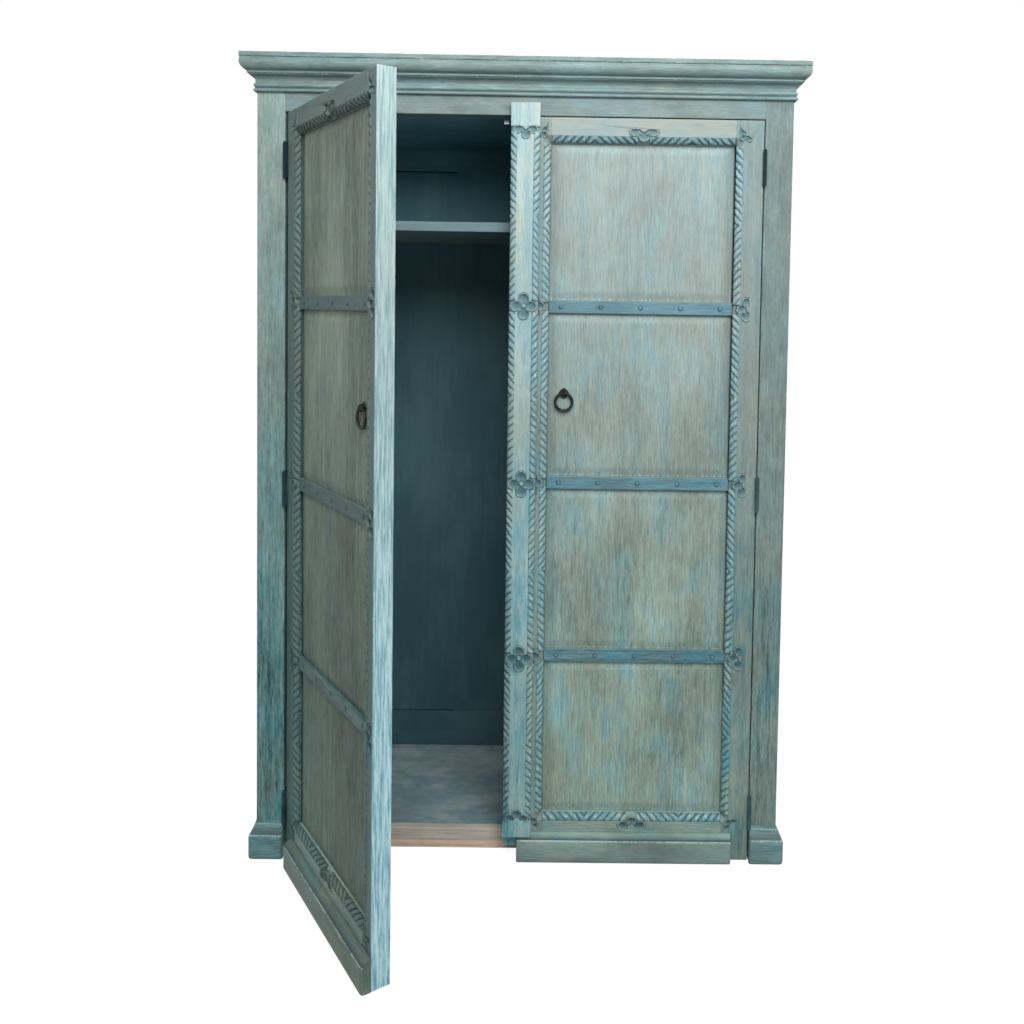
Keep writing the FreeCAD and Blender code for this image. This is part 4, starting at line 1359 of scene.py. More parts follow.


# The case


# Section points as millimetres out, millimetres up, wear, and glaze that also paints shade in the coves
BLOCK_POINTS = (
    (0.0, 0.0, 0.0, 0.0), (12.0, 0.0, 0.0, 0.0), (15.6, 1.3, 0.5, 0.0), (17.4, 4.2, 0.6, 0.0),
    (18.0, 9.0, 0.3, 0.0), (18.0, 30.0, 0.0, 0.0), (18.0, 56.0, 0.0, 0.0), (17.8, 60.0, 0.5, 0.0),
    (16.8, 63.2, 1.0, 0.0), (14.8, 65.2, 1.0, 0.0), (13.4, 65.9, 0.3, 0.6), (12.7, 66.8, 0.0, 1.0),
    (12.4, 69.5, 0.0, 0.9), (11.0, 73.0, 0.0, 0.8), (8.8, 77.5, 0.0, 0.6), (6.6, 82.0, 0.0, 0.4),
    (5.0, 86.0, 0.2, 0.1), (4.5, 88.6, 0.9, 0.0), (3.6, 90.4, 1.0, 0.0), (2.4, 92.6, 0.5, 0.0),
    (1.4, 95.4, 0.2, 0.0), (0.9, 98.0, 0.2, 0.0), (0.0, 98.0, 0.0, 0.0))
MOULDING_POINTS = (
    (0.0, 0.0, 0.0, 0.0), (18.0, 0.0, 0.0, 0.0), (21.8, 1.1, 0.5, 0.0), (24.0, 3.8, 0.6, 0.0),
    (24.5, 7.5, 0.3, 0.0), (24.5, 30.0, 0.0, 0.0), (24.5, 54.0, 0.0, 0.0), (24.3, 57.0, 0.6, 0.0),
    (23.4, 59.5, 1.0, 0.0), (22.0, 60.8, 1.0, 0.0), (21.3, 61.3, 0.2, 0.8), (21.0, 62.6, 0.0, 1.0),
    (20.3, 64.6, 0.0, 0.9), (18.2, 67.6, 0.0, 0.6), (14.6, 70.4, 0.2, 0.3), (9.2, 72.7, 0.4, 0.0),
    (4.2, 73.7, 0.2, 0.2), (0.0, 74.0, 0.0, 0.6))


@dataclass(frozen=True)
class FootSection:
    """The worn section of a foot moulding and the way it runs along a path."""

    points: tuple[tuple[float, float, float, float], ...]
    end_round: float = 5.0 * MM
    end_steps: tuple[float, ...] = (0.0, 0.18, 0.5, 1.0)
    smooth_under: float = math.radians(42)

    @property
    def reach(self) -> float:
        """How far the section stands out."""
        return max(point[0] for point in self.points) * MM

    def end_shares(self) -> list[tuple[float, float]]:
        """Distances from a run's end, with the share of the reach left there."""
        return [(step * self.end_round,
                 1 - self.end_round * (1 - math.sqrt(1 - (1 - step) ** 2)) / self.reach)
                for step in self.end_steps]

    def mesh(self, name: str, stations: Sequence[tuple[Vector, Vector, float]]) -> bpy.types.Mesh:
        """Run the section along a path.

        Args:
            name: Name of the mesh.
            stations: Foot of the section, direction in which it stands out and share of its reach.

        Returns:
            The closed mesh.
        """
        rows = [[foot + outward * (out * MM * share) + Vector((0, 0, up * MM))
                 for out, up, _wear, _glaze in self.points] for foot, outward, share in stations]
        wears = [wear for _out, _up, wear, _glaze in self.points] * len(rows)
        glazes_and_shade = [glaze for _out, _up, _wear, glaze in self.points] * len(rows)
        mesh = grid_mesh(name, rows, True, False, {"arris": wears, "hollow": glazes_and_shade})
        with edited(mesh) as work:
            bmesh.ops.remove_doubles(work, verts=work.verts, dist=MERGE_DISTANCE)
            bmesh.ops.dissolve_degenerate(work, edges=work.edges, dist=MERGE_DISTANCE)
            bmesh.ops.recalc_face_normals(work, faces=work.faces)
        smooth(mesh, self.smooth_under)
        return mesh


@dataclass
class Case:
    """Posts, rails, boards, cornice and plinth blocks."""

    shop: Workshop
    easing: Easing = field(default_factory=Easing)
    soft_easing: Easing = field(default_factory=lambda: Easing(radius=2.0 * MM, band=6.0 * MM))
    block_section: FootSection = field(default_factory=lambda: FootSection(BLOCK_POINTS))
    block_corner_steps: int = 8
    underside_band: float = 2.0 * MM
    door_clearance: float = 0.4 * MM
    squareness: float = 5.0

    def timbers(self) -> list[tuple[str, Finish, Grain, str]]:
        """List the timbers of the case.

        Returns:
            Node, finish, grain and slot of each.
        """
        book = self.shop.finishes
        coated, bare, inner = "painted_wood", "bare_wood", "inside_paint"
        rows = [("left_front_post", book.paints["left_post"], Grain.UPRIGHT, coated),
                ("right_front_post", book.paints["post"], Grain.UPRIGHT, coated)]
        for name, paint, grain in (("{}_rear_post", book.paints["post"], Grain.UPRIGHT),
                                   ("{}_side_panel", book.paints["side"], Grain.UPRIGHT),
                                   ("cornice_{}_return", book.paints["cornice"], Grain.DEEP)):
            rows += [(name.format(side), paint, grain, coated) for side in ("left", "right")]
        return rows + [
            ("cornice_front", book.paints["cornice"], Grain.LEVEL, coated),
            ("frieze_rail", book.paints["frieze"], Grain.LEVEL, coated),
            ("side_rails", book.paints["side"], Grain.DEEP, coated),
            ("back_boards", book.inside, Grain.UPRIGHT, inner),
            ("back_bottom_rail", book.inside, Grain.LEVEL, inner),
            ("back_top_rail", book.inside, Grain.LEVEL, inner),
            ("dust_top", book.bare_grey, Grain.LEVEL, bare),
            ("ceiling_board", book.inside, Grain.LEVEL, inner),
            ("shelf", book.shelf_paint, Grain.LEVEL, inner),
            ("shelf_cleats", book.inside, Grain.DEEP, inner),
            ("floor_board", book.chalky_floor, Grain.LEVEL, inner),
            ("floor_bearers", book.bare_grey, Grain.DEEP, bare),
            ("bottom_rail_upper", book.bare_grey, Grain.LEVEL, bare),
            ("bottom_rail_lower", book.bare_pink, Grain.LEVEL, bare),
        ]

    def build(self) -> None:
        """Dress every timber and the small steel parts of the case."""
        for node, finish, grain, slot in self.timbers():
            easing = self.soft_easing if "post" in node else self.easing
            mesh = easing.mesh(node)
            if node == "ceiling_board":
                self.lift_underside(mesh)
            self.shop.add(node + "_timber", levelled(mesh), self.shop.finishes.get(finish, grain), "case",
                          slot, [node])
        for side, sign in (("left", -1), ("right", 1)):
            self.plinth_block(side + "_plinth_block", sign)
        book = self.shop.finishes
        for node, finish in (("door_catch", book.catch_steel), ("hinge_pins", book.paints["hinge"]),
                             ("hinge_post_leaves", book.paints["hinge"])):
            dress_node(node, book.get(finish))

    def lift_underside(self, mesh: bpy.types.Mesh) -> None:
        """Leave a paint's thickness between the ceiling board and the tops of the closed doors."""
        low = min(vert.co.z for vert in mesh.vertices)
        for vert in mesh.vertices:
            if vert.co.z < low + self.underside_band:
                vert.co.z += self.door_clearance

    def plinth_block(self, node: str, sign: int) -> None:
        """Run the block's section round the front corner of its post.

        Args:
            node: The CAD node that the block stands for.
            sign: -1 for the left post, 1 for the right one.
        """
        low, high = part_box(node)
        post_low, post_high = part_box(node.replace("plinth_block", "front_post"))
        inner = post_low[0] if sign > 0 else post_high[0]
        outer = post_high[0] if sign > 0 else post_low[0]
        face, end = post_low[1], high[1]
        ahead, aside = Vector((0, -1, 0)), Vector((sign, 0, 0))
        stations = [(Vector((inner + sign * inset, face, low[2])), ahead, share)
                    for inset, share in self.block_section.end_shares()]
        for step in range(self.block_corner_steps + 1):
            angle = math.pi / 2 * step / self.block_corner_steps
            square = (math.cos(angle) ** self.squareness + math.sin(angle) ** self.squareness) ** (
                -1 / self.squareness)
            stations.append((Vector((outer, face, low[2])), ahead * math.cos(angle) + aside * math.sin(angle),
                             square))
        stations += [(Vector((outer, end - inset, low[2])), aside, share)
                     for inset, share in reversed(self.block_section.end_shares())]
        mesh = self.block_section.mesh(node + "_run", stations)
        book = self.shop.finishes
        paint = book.paints["left_plinth"] if sign < 0 else book.paints["plinth"]
        self.shop.add(node + "_run", levelled(mesh), book.get(paint, Grain.LEVEL), "case", "painted_wood",
                      [node])


def dress_node(node: str, material: bpy.types.Material) -> None:
    """Give a CAD node that stays its material."""
    mesh = frame["nodes"][node].data
    mesh.materials.clear()
    mesh.materials.append(material)


# The doors


@dataclass
class Leaf:
    """One door leaf, described as if it were closed and turned to its rest angle at the end."""

    shop: Workshop
    side: str
    rope: RopeBead
    set_out: SetOut
    rope_pitch: float = 20.0 * MM
    rope_slant: float = 0.9
    rope_wander: float = 0.5
    rope_groove: float = 0.80
    rope_bulge: float = 5.2 * MM
    rope_step: float = 2.0 * MM
    easing: Easing = field(default_factory=Easing)
    soft_panel: SoftPanel = field(default_factory=SoftPanel)
    strap_easing: Easing = field(default_factory=lambda: Easing(radius=0.7 * MM, band=2.5 * MM))
    foot_section: FootSection = field(default_factory=lambda: FootSection(MOULDING_POINTS))
    flower: Flower = field(default_factory=half_flower)
    flower_margin: float = 9.0 * MM
    end_width: float = 1.20
    end_height: float = 0.93
    corner_size: float = 0.62
    corner_setback: float = 10.0 * MM
    flower_gap: float = 12.0 * MM
    corner_gap: float = 21.0 * MM
    chalk_depth: float = 1.6 * MM
    bare_arris: float = 2.2 * MM
    # Extra darkening of the rope runs: painted shade on the top run, which faces down under the rail; glaze
    # and painted shade on the foot run
    top_glaze: float = 0.75
    foot_glaze: float = 0.30
    nail_turn: float = 0.7
    nail_tilt: float = math.radians(5)
    nail_seed: int = 4
    ring_steps: int = 72
    bend_steps: int = 12
    staple_lap: float = 1.5 * MM

    def __post_init__(self) -> None:
        """Read the leaf's place and angle from the frame."""
        self.body = self.side + "_door"
        joint = next(j for j in frame["joints"] if j["name"] == self.body + "_hinge")
        self.mirror = -1 if self.side == "left" else 1
        self.turn = self.mirror * -math.radians(min(joint["range_deg"]))
        axis = Matrix.Translation(Vector(joint["pos_m"]))
        self.to_rest = axis @ Matrix.Rotation(self.turn, 4, "Z") @ axis.inverted()
        self.to_closed = self.to_rest.inverted()

    def paint(self, part: str) -> Finish:
        """Choose the paint of a kind of part; the left leaf gets the shaded copies, painted shade for a leaf
        that stands open and turned from the lamps.
        """
        return self.shop.finishes.paints[("shaded_" if self.side == "left" else "") + part]

    def box(self, part: str) -> Box:
        """Lowest and highest corner of a node of this leaf, closed."""
        mesh = frame["nodes"][f"{self.body}_{part}"].data
        return corners(self.to_closed @ vert.co for vert in mesh.vertices)

    def islands(self, part: str) -> list[Box]:
        """Find the boxes of the separate solids of a node of this leaf, closed.

        Args:
            part: The node's name without the door's.

        Returns:
            The boxes from the top down.
        """
        work = bmesh.new()
        work.from_mesh(frame["nodes"][f"{self.body}_{part}"].data)
        bmesh.ops.remove_doubles(work, verts=work.verts, dist=MERGE_DISTANCE)
        work.transform(self.to_closed)
        boxes = []
        seen: set[bmesh.types.BMVert] = set()
        for start in work.verts:
            if start in seen:
                continue
            island = [start]
            seen.add(start)
            for vert in island:
                near = {other for edge in vert.link_edges for other in edge.verts} - seen
                seen |= near
                island += near
            boxes.append(corners(vert.co for vert in island))
        work.free()
        return sorted(boxes, key=lambda box: -box[0].z)

    def finish(self, paint: Finish, grain: Grain) -> bpy.types.Material:
        """A finish turned with this leaf."""
        return self.shop.finishes.get(paint, grain, -self.turn)

    def place(self, name: str, mesh: bpy.types.Mesh, material: bpy.types.Material, slot: str,
              part: str) -> None:
        """Turn a closed mesh to the rest angle and add it in place of a node."""
        mesh.transform(self.to_rest)
        self.shop.add(f"{self.body}_{name}", mesh, material, self.body, slot, [f"{self.body}_{part}"])

    def timbers(self) -> None:
        """Eased copies of the frame and straps, with pockets for the flowers, and paint for the hinge leaves.
        """
        book = self.shop.finishes
        coated = "painted_wood"
        stile_paint = self.paint("stile")
        rail_paint = stile_paint if self.side == "left" else book.paints["rail"]
        pockets = [self.flower.pocket(*place) for place in self.flower_places()]
        for part, paint, grain, slot, easing in (
                ("hinge_stile", stile_paint, Grain.UPRIGHT, coated, self.easing),
                ("meeting_stile", stile_paint, Grain.UPRIGHT, coated, self.easing),
                ("top_rail", rail_paint, Grain.LEVEL, coated, self.easing),
                ("bottom_rail", book.paints["foot_rail"], Grain.LEVEL, coated, self.easing),
                ("cross_rails", stile_paint, Grain.LEVEL, coated, self.easing),
                ("straps", self.paint("strap"), Grain.LEVEL, "strap_paint", self.strap_easing)):
            node = f"{self.body}_{part}"
            mesh = easing.mesh(node)
            if part in ("hinge_stile", "meeting_stile", "top_rail", "bottom_rail"):
                mesh.transform(self.to_closed)
                mesh = pocketed(mesh, pockets, easing.smooth_under, part == "meeting_stile")
                if node == "left_door_meeting_stile":
                    self.chalk(mesh)
                mesh.transform(self.to_rest)
            self.shop.add(f"{node}_timber", levelled(mesh), self.finish(paint, grain), self.body, slot,
                          [node])
        for pocket in pockets:
            bpy.data.meshes.remove(pocket)
        dress_node(self.body + "_hinge_leaves", book.get(book.paints["hinge"]))

    def foot_moulding(self) -> None:
        """Run the moulding across the foot of the leaf, its ends rubbed round."""
        low, high = self.box("plinth_moulding")
        ends = self.foot_section.end_shares()
        spots = [(low.x + inset, share) for inset, share in ends]
        spots += [(high.x - inset, share) for inset, share in reversed(ends)]
        mesh = self.foot_section.mesh("foot_moulding", [
            (Vector((x, high.y, low.z)), Vector((0, -1, 0)), share) for x, share in spots])
        self.place("plinth_moulding_run", levelled(mesh), self.finish(self.paint("moulding"), Grain.LEVEL),
                   "painted_wood", "plinth_moulding")

    def chalk(self, mesh: bpy.types.Mesh) -> None:
        """Mark the free edge of a closed stile as chalky."""
        edge = max(vert.co.x for vert in mesh.vertices) - self.chalk_depth
        painted(mesh, "chalk", [float(vert.co.x > edge) for vert in mesh.vertices])

    def panels(self) -> None:
        """Four soft panels in the frame's grooves."""
        node = frame["nodes"][self.body + "_panels"].data
        depths = sorted({round((self.to_closed @ vert.co).y, 5) for vert in node.vertices})
        strap_low, strap_high = self.box("straps")
        boxes = self.islands("panels")
        reach = strap_low.x - boxes[0][0].x
        meshes = []
        for low, high in boxes:
            inner_low = Vector((strap_low.x, 0.0, low.z + reach))
            inner_high = Vector((strap_high.x, 0.0, high.z - reach))
            meshes.append(self.soft_panel.mesh(inner_low, inner_high, reach,
                                               (depths[0], depths[1], depths[2], depths[-1])))
        self.place("soft_panels", merged("panels", meshes), self.finish(self.paint("panel"), Grain.UPRIGHT),
                   "painted_wood", "panels")

    def nails(self) -> None:
        """Forged heads along the straps."""
        heads = self.islands("strap_nails")
        places = [(Vector(((low.x + high.x) / 2, high.y, (low.z + high.z) / 2)), self.nail_turn * index,
                   Vector((1.0, 1.0, 1.0))) for index, (low, high) in enumerate(heads)]
        material = self.finish(self.paint("strap"), Grain.LEVEL)
        mesh = self.set_out.on_points(places, NailHead().mesh(), material, self.nail_tilt, self.nail_seed)
        self.place("nail_heads", mesh, material, "strap_paint", "strap_nails")

    def bead(self, start: Vector, end: Vector, outwards: Vector, face: Vector,
             material: bpy.types.Material, band: float, bulge: float) -> bpy.types.Mesh:
        """One carved rope run.

        Args:
            start: Start of the bead's centre line.
            end: Its end.
            outwards: Unit direction across the band.
            face: Unit direction in which the bead stands.
            material: Its material.
            band: Width of the bead.
            bulge: Height of its crown.

        Returns:
            The bead's mesh in place.
        """
        run = end - start
        mesh = self.rope.run(bpy.data.meshes.new("seed"), {
            "Length": run.length, "Band": band, "Bulge": bulge, "Pitch": self.rope_pitch,
            "Slant": self.rope_slant, "Groove": self.rope_groove, "Step": self.rope_step,
            "Wander": self.rope_wander, "Place": start.x * 7 + start.z * 3, "Material": material})
        middle = (start + end) / 2
        along = run.normalized()
        turned = Matrix((outwards, face, along)).transposed().to_4x4()
        if turned.determinant() < 0:
            mesh.flip_normals()
        mesh.transform(Matrix.Translation(middle) @ turned)
        return mesh

    def rope_band(self) -> tuple[Vector, Vector, float, float]:
        """Outer corners of the rope's band, its width and the depth of the front face, closed."""
        low, high = self.box("rope_moulding")
        strap_low, strap_high = self.box("straps")
        band = strap_low.x - low.x if self.mirror < 0 else high.x - strap_high.x
        return low, high, band, self.box("top_rail")[0].y

    def strap_levels(self) -> list[float]:
        """Heights of the straps' middles, from the top down."""
        return [(low.z + high.z) / 2 for low, high in self.islands("straps")]

    def border(self) -> None:
        """Rope round the opening, carved on its sloping band."""
        low, high, band, face_depth = self.rope_band()
        depth = high.y - face_depth
        material = self.finish(self.paint("carving"), Grain.UPRIGHT)
        slope = Vector((band, depth)).normalized()
        levels = [high.z - self.corner_gap + self.flower_gap] + self.strap_levels()
        levels.append(low.z + self.corner_gap - self.flower_gap)
        mid_depth = face_depth + depth / 2
        width = math.hypot(band, depth) - self.bare_arris
        middle = (low.x + high.x) / 2
        gap = self.flower_gap * self.end_width
        rows = []
        for side, x in ((-1, low.x + band / 2), (1, high.x - band / 2)):
            across, face = Vector((-side * slope.x, slope.y, 0.0)), Vector((-side * slope.y, -slope.x, 0.0))
            rows += [(Vector((x, mid_depth, bottom + self.flower_gap)),
                      Vector((x, mid_depth, top - self.flower_gap)), across, face, 0.0)
                     for top, bottom in zip(levels, levels[1:])]
        # the top run's darkening is painted shade
        for side, z, glaze in ((-1, low.z + band / 2, self.foot_glaze),
                               (1, high.z - band / 2, self.top_glaze)):
            across, face = Vector((0.0, slope.y, -side * slope.x)), Vector((0.0, -slope.x, -side * slope.y))
            rows += [(Vector((first, mid_depth, z)), Vector((last, mid_depth, z)), across, face, glaze)
                     for first, last in ((low.x + self.corner_gap, middle - gap),
                                         (middle + gap, high.x - self.corner_gap))]
        beads = []
        for start, end, across, face, glaze in rows:
            aside = across * (-self.bare_arris / 2)
            beads.append(self.bead(start + aside, end + aside, across, face, material, width,
                                   self.rope_bulge))
            if glaze:
                self.glaze(beads[-1], glaze)
        self.place("rope", merged("rope", beads), material, "painted_wood", "rope_moulding")

    @staticmethod
    def glaze(mesh: bpy.types.Mesh, amount: float) -> None:
        """Darken a rope all but its crown, with glaze and painted shade."""
        hollows = mesh.attributes["hollow"].data
        crowns = mesh.attributes["arris"].data
        for hollow, crown in zip(hollows, crowns):
            hollow.value = min(1.0, hollow.value + amount * (1.15 - crown.value))

    def flower_places(self) -> list[Place]:
        """Set out the half flowers at the straps, at the ends and at the corners.

        Returns:
            Centre, turn and size of each.
        """
        low, high, band, face_depth = self.rope_band()
        setback = self.flower.reach + self.flower_margin - band
        middle = (low.x + high.x) / 2
        full = Vector((1.0, 1.0, 1.0))
        wide = Vector((self.end_width, 1.0, self.end_height))
        small = Vector((self.corner_size, 1.0, self.corner_size))
        end_setback = self.flower.reach * self.end_height - band + 0.6 * self.flower_margin
        corner = self.corner_setback
        places = [(Vector((middle, face_depth, high.z + end_setback)), 0.0, wide),
                  (Vector((middle, face_depth, low.z - end_setback)), math.pi, wide)]
        for level in self.strap_levels():
            places.append((Vector((low.x - setback, face_depth, level)), -math.pi / 2, full))
            places.append((Vector((high.x + setback, face_depth, level)), math.pi / 2, full))
        for x, z, turn in ((low.x - corner, high.z + corner, -0.25), (high.x + corner, high.z + corner, 0.25),
                           (low.x - corner, low.z - corner, -0.75), (high.x + corner, low.z - corner, 0.75)):
            places.append((Vector((x, face_depth, z)), math.pi * turn, small))
        return places

    def flowers(self) -> None:
        """Half flowers in their pockets."""
        material = self.finish(self.paint("flower"), Grain.UPRIGHT)
        mesh = self.set_out.on_points(self.flower_places(), self.flower.mesh(), material)
        self.place("flowers", mesh, material, "painted_wood", "rosettes")

    def pull(self) -> None:
        """Iron ring, bent staple and diamond plate."""
        iron = self.shop.finishes.get(self.shop.finishes.iron)
        low, high = self.box("ring")
        wire = (high.y - low.y) / 2
        centre = (low + high) / 2
        radius = (high.x - low.x) / 2 - wire
        ring = bent_bar([centre + Vector((radius * math.cos(angle), 0.0, radius * math.sin(angle)))
                         for angle in round_steps(self.ring_steps)], wire, True, 0.06)
        ring.transform(self.to_rest)
        self.shop.add(f"{self.body}_forged_ring", ring, iron, self.side + "_ring", "black_iron",
                      [f"{self.body}_ring"])
        staple_low, staple_high = self.box("ring_staple")
        bar = (staple_high.x - staple_low.x) / 2
        middle = (staple_low + staple_high) / 2
        half = (staple_high.z - staple_low.z) / 2 - bar
        bend = staple_low.y + half + bar
        route = [Vector((middle.x, staple_high.y + self.staple_lap, middle.z - half))]
        route += [Vector((middle.x, bend - half * math.cos(angle), middle.z + half * math.sin(angle)))
                  for angle in (math.pi * (step / self.bend_steps - 0.5)
                                for step in range(self.bend_steps + 1))]
        route.append(Vector((middle.x, staple_high.y + self.staple_lap, middle.z + half)))
        self.place("bent_staple", bent_bar(route, bar, False, 0.03), iron, "black_iron", "ring_staple")
        plate_low, plate_high = self.box("ring_plate")
        self.place("rounded_plate", diamond_plate(plate_low, plate_high), iron, "black_iron", "ring_plate")

    def build(self) -> None:
        """Make the whole leaf."""
        self.timbers()
        self.foot_moulding()
        self.panels()
        self.nails()
        self.border()
        self.flowers()
        self.pull()


def bent_bar(route: Sequence[Vector], radius: float, closed: bool, unevenness: float) -> bpy.types.Mesh:
    """A round bar along a route in the plane of its points, slightly uneven from the hammer.

    Args:
        route: Points of the centre line.
        radius: Radius of the bar.
        closed: Whether the route runs back to its start.
        unevenness: Share by which the radius varies.

    Returns:
        The bar's mesh.
    """
    sides = 16
    count = len(route)
    plane = (route[1] - route[0]).cross(route[count // 2] - route[0]).normalized()
    rows = []
    for index, point in enumerate(route):
        before = route[index - 1] if closed or index else point
        after = route[(index + 1) % count] if closed or index < count - 1 else point
        along = (after - before).normalized()
        beside = along.cross(plane)
        row = []
        for angle in round_steps(sides):
            way = beside * math.cos(angle) + plane * math.sin(angle)
            swell = 1 - unevenness * (0.5 + 0.5 * noise.noise((point + way * radius) * 160))
            row.append(point + way * (radius * swell))
        rows.append(row)
    mesh = grid_mesh("bar", rows, True, closed)
    outwards(mesh)
    smooth(mesh, math.radians(60))
    return mesh


def diamond_plate(low: Vector, high: Vector) -> bpy.types.Mesh:
    """A diamond plate with rounded corners and a dished face.

    Args:
        low: Lowest corner of its box.
        high: Highest corner.

    Returns:
        The plate's mesh.
    """
    centre = (low + high) / 2
    half = (high.x - low.x) / 2
    steps = 64
    power = 1.35
    rows = []
    for share, depth_share in ((1.0, 1.0), (1.0, 0.35), (0.95, 0.08), (0.86, 0.0), (0.5, -0.1),
                               (0.12, -0.15)):
        row = []
        for angle in round_steps(steps):
            cosine, sine = math.cos(angle), math.sin(angle)
            size = (abs(cosine) ** power + abs(sine) ** power) ** (-1 / power) * half * share
            row.append(Vector((centre.x + size * cosine, low.y + (high.y - low.y) * depth_share,
                               centre.z + size * sine)))
        rows.append(row)
    mesh = grid_mesh("plate", rows, True, False)
    outwards(mesh)
    smooth(mesh, math.radians(40))
    return mesh


@dataclass
class Astragal:
    """The strip on the right leaf, with a rope on each edge and flowers down its face."""

    leaf: Leaf
    bead_bulge: float = 4.6 * MM
    end_height: float = 0.94
    flower_gap: float = 14.8 * MM
    flower: Flower = field(default_factory=Flower)
    half_flower: Flower = field(default_factory=half_flower)

    def build(self) -> None:
        """Make the strip, its ropes and its flowers."""
        leaf = self.leaf
        node = "right_door_astragal"
        strip_low, strip_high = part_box(node)
        rope_low, rope_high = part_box(node + "_rope")
        band = min(high.x - low.x for low, high in leaf.islands("astragal_rope"))
        face = strip_low.y
        stops = [rope_high.z] + leaf.strap_levels() + [rope_low.z]
        full = Vector((1.0, 1.0, 1.0))
        low_end = Vector((1.0, 1.0, self.end_height))
        wholes = [(Vector((0.0, face, stop)), 0.0, full) for stop in stops[1:-1]]
        halves = [(Vector((0.0, face, stops[0])), 0.0, low_end),
                  (Vector((0.0, face, stops[-1])), math.pi, low_end)]
        self.strip(node, wholes, halves)
        self.ropes(node, band, face, rope_high.y - face, strip_high.x, stops)
        material = leaf.finish(leaf.shop.finishes.paints["flower"], Grain.UPRIGHT)
        meshes = [leaf.set_out.on_points(wholes, self.flower.mesh(), material),
                  leaf.set_out.on_points(halves, self.half_flower.mesh(), material)]
        leaf.shop.add(node + "_flowers", merged("astragal_flowers", meshes), material, leaf.body,
                      "painted_wood", [node + "_rosettes"])

    def strip(self, node: str, wholes: Sequence[Place], halves: Sequence[Place]) -> None:
        """Ease the strip itself and pocket it for its flowers.

        Args:
            node: The strip's CAD node.
            wholes: Places of the whole flowers.
            halves: Places of the half ones.
        """
        leaf = self.leaf
        pockets = [self.flower.pocket(*place) for place in wholes]
        pockets += [self.half_flower.pocket(*place) for place in halves]
        mesh = pocketed(leaf.easing.mesh(node), pockets, leaf.easing.smooth_under)
        for pocket in pockets:
            bpy.data.meshes.remove(pocket)
        material = leaf.finish(leaf.shop.finishes.paints["astragal"], Grain.UPRIGHT)
        leaf.shop.add(node + "_timber", levelled(mesh), material, leaf.body, "painted_wood", [node])

    def ropes(self, node: str, band: float, face: float, depth: float, half_width: float,
              stops: Sequence[float]) -> None:
        """Carve a rope down each edge, one run between each two flowers.

        Args:
            node: The strip's CAD node.
            band: Width of a rope's band.
            face: Depth of the strip's face.
            depth: How far the rope's band slopes back.
            half_width: Half the strip's width.
            stops: Heights between which the runs lie, from the top down.
        """
        leaf = self.leaf
        slope = Vector((band, depth)).normalized()
        width = math.hypot(band, depth)
        material = leaf.finish(leaf.shop.finishes.paints["carving"], Grain.UPRIGHT)
        beads = []
        for side in (-1, 1):
            x = side * (half_width - band / 2)
            across = Vector((side * slope.x, slope.y, 0.0))
            stand = Vector((side * slope.y, -slope.x, 0.0))
            for top, bottom in zip(stops, stops[1:]):
                beads.append(leaf.bead(Vector((x, face + depth / 2, bottom + self.flower_gap)),
                                       Vector((x, face + depth / 2, top - self.flower_gap)),
                                       across, stand, material, width, self.bead_bulge))
        leaf.shop.add(node + "_ropes", merged("astragal_ropes", beads), material, leaf.body, "painted_wood",
                      [node + "_rope"])


# Floor, light and camera


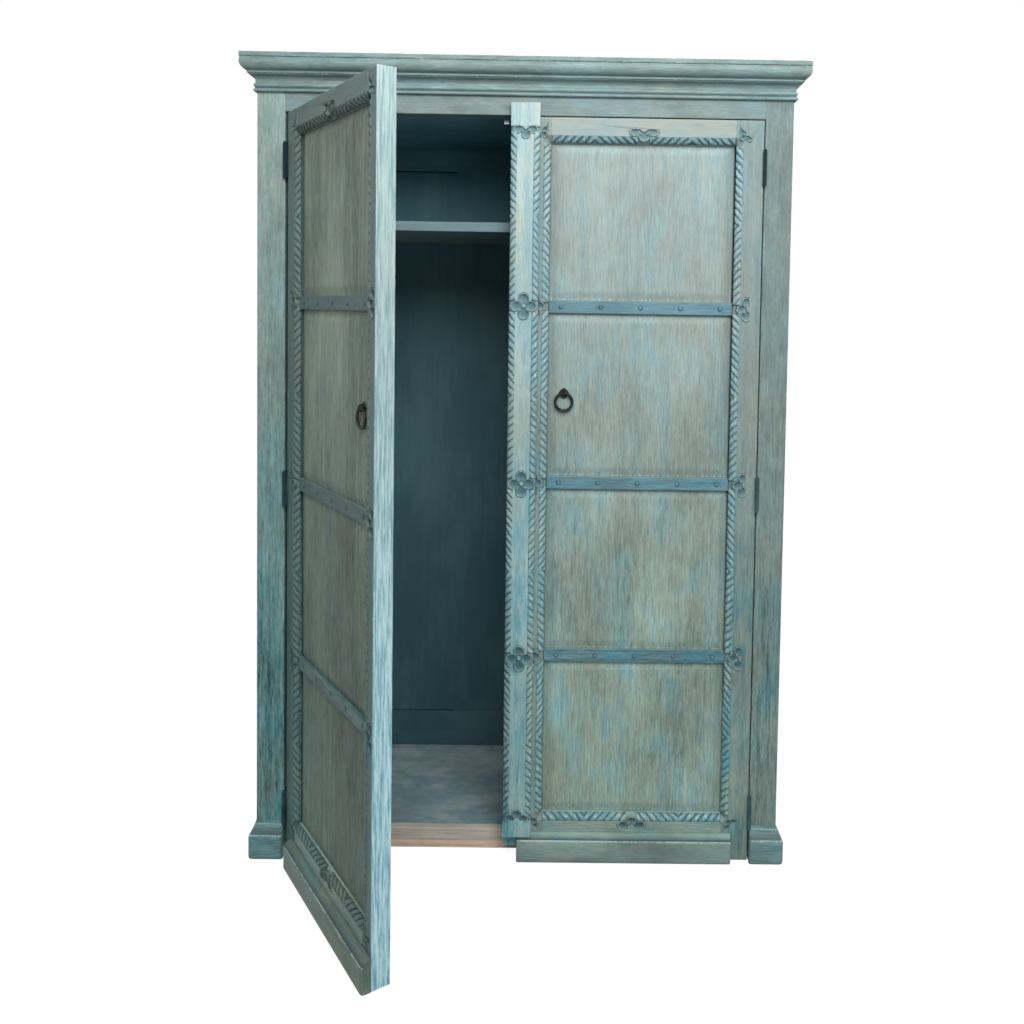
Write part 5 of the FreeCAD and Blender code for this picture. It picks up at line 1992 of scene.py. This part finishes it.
@dataclass
class Studio:
    """Pale floor, soft lamps, white surround and the photograph's camera."""

    floor_size: float = 30.0
    floor_drop: float = 0.5 * MM
    floor_glow: float = 0.90
    ambient: float = 0.30
    key_power: float = 71.0
    fill_share: float = 0.08
    low_fill_share: float = 0.075
    image_width: float = 1024.0
    focal_pixels: float = 905.41
    centre_u: float = 562.70
    centre_v: float = 348.95
    sensor: float = 36.0
    eye: tuple[float, float, float] = (0.0852, -2.6191, 1.4600)
    yaw: float = 0.0076
    pitch: float = 0.0423
    roll: float = 0.0153

    def build(self) -> None:
        """Make the whole set."""
        self.world()
        self.floor()
        self.lamp("key", (0.40, -2.1, 3.0), (0.0, -0.2, 1.2), 1.7, self.key_power)
        self.lamp("fill", (-1.9, -2.2, 3.1), (-0.4, -0.4, 1.2), 2.0, self.key_power * self.fill_share)
        self.lamp("low_fill", (1.3, -2.7, 0.75), (0.2, -0.3, 0.45), 1.4, self.key_power * self.low_fill_share)
        self.camera()

    def world(self) -> None:
        """White where the camera, gloss or glass sees it, plain ambient light elsewhere."""
        world = bpy.data.worlds.new("surround")
        bpy.context.scene.world = world
        world.use_nodes = True
        tree = Tree(world.node_tree)
        seen = self.seen(tree)
        strength = seen * (1.0 - self.ambient) + self.ambient
        surface = tree.node("ShaderNodeBackground", None, {"Color": (1.0, 1.0, 1.0, 1.0),
                                                           "Strength": strength})
        tree.node("ShaderNodeOutputWorld", None, {"Surface": surface})

    @staticmethod
    def seen(tree: Tree) -> Value:
        """1 for rays that show the surround: camera, glossy and transmission rays."""
        rays = [tree.node("ShaderNodeLightPath", None, None, label)
                for label in ("Is Camera Ray", "Is Glossy Ray", "Is Transmission Ray")]
        return rays[0].at_least(rays[1]).at_least(rays[2])

    def floor(self) -> None:
        """A pale floor that glows white to the camera and keeps the cabinet's shadow."""
        half = self.floor_size / 2
        mesh = bpy.data.meshes.new("floor")
        mesh.from_pydata([(-half, -half, -self.floor_drop), (half, -half, -self.floor_drop),
                          (half, half, -self.floor_drop), (-half, half, -self.floor_drop)], [],
                         [(0, 1, 2, 3)])
        shader = Shader("pale_floor")
        matt = shader.node("ShaderNodeBsdfDiffuse", None, {"Color": (0.36, 0.36, 0.36, 1.0)})
        glow = shader.node("ShaderNodeEmission", None, {"Color": (1.0, 1.0, 1.0, 1.0),
                                                        "Strength": self.floor_glow})
        lit = shader.node("ShaderNodeAddShader", None, {0: matt, 1: glow})
        shown = shader.node("ShaderNodeMixShader", None, {0: self.seen(shader), 1: matt, 2: lit})
        shader.node("ShaderNodeOutputMaterial", None, {"Surface": shown})
        mesh.materials.append(shader.material)
        floor = bpy.data.objects.new("floor", mesh)
        bpy.context.scene.collection.objects.link(floor)

    @staticmethod
    def lamp(name: str, place: Sequence[float], aim: Sequence[float], size: float, power: float) -> None:
        """Hang one square softbox.

        Args:
            name: Its name.
            place: Where it hangs.
            aim: Point that it faces.
            size: Side of the square in metres.
            power: Power in watts.
        """
        light = bpy.data.lights.new(name, "AREA")
        light.shape = "SQUARE"
        light.size = size
        light.energy = power
        lamp = bpy.data.objects.new(name, light)
        lamp.location = place
        lamp.rotation_euler = (Vector(aim) - Vector(place)).to_track_quat("-Z", "Y").to_euler()
        bpy.context.scene.collection.objects.link(lamp)

    def camera(self) -> None:
        """Stand the camera where the photograph was taken."""
        ahead = Vector((math.sin(self.yaw) * math.cos(self.pitch), math.cos(self.yaw) * math.cos(self.pitch),
                        -math.sin(self.pitch)))
        right = Vector((math.cos(self.yaw), -math.sin(self.yaw), 0.0))
        upward = right.cross(ahead)
        cosine, sine = math.cos(self.roll), math.sin(self.roll)
        image_right = right * cosine + upward * sine
        image_up = upward * cosine - right * sine
        data = bpy.data.cameras.new("camera")
        data.sensor_width = self.sensor
        data.lens = self.focal_pixels / self.image_width * self.sensor
        data.shift_x = (self.image_width / 2 - self.centre_u) / self.image_width
        data.shift_y = (self.centre_v - self.image_width / 2) / self.image_width
        camera = bpy.data.objects.new("camera", data)
        turned = Matrix((image_right, image_up, -ahead)).transposed().to_4x4()
        camera.matrix_world = Matrix.Translation(self.eye) @ turned
        bpy.context.scene.collection.objects.link(camera)
        bpy.context.scene.camera = camera


def main() -> None:
    """Build the cabinet from the case outwards, then the studio round it."""
    logging.basicConfig(level=logging.INFO, format="%(name)s: %(message)s")
    bpy.context.scene.view_settings.view_transform = "Standard"
    shop = Workshop()
    rope = RopeBead()
    set_out = SetOut()
    Case(shop).build()
    Leaf(shop, "left", rope, set_out).build()
    right_leaf = Leaf(shop, "right", rope, set_out)
    right_leaf.build()
    Astragal(right_leaf).build()
    Studio().build()
    log.info("%d pieces", shop.count)


if __name__ == "__main__":
    main()
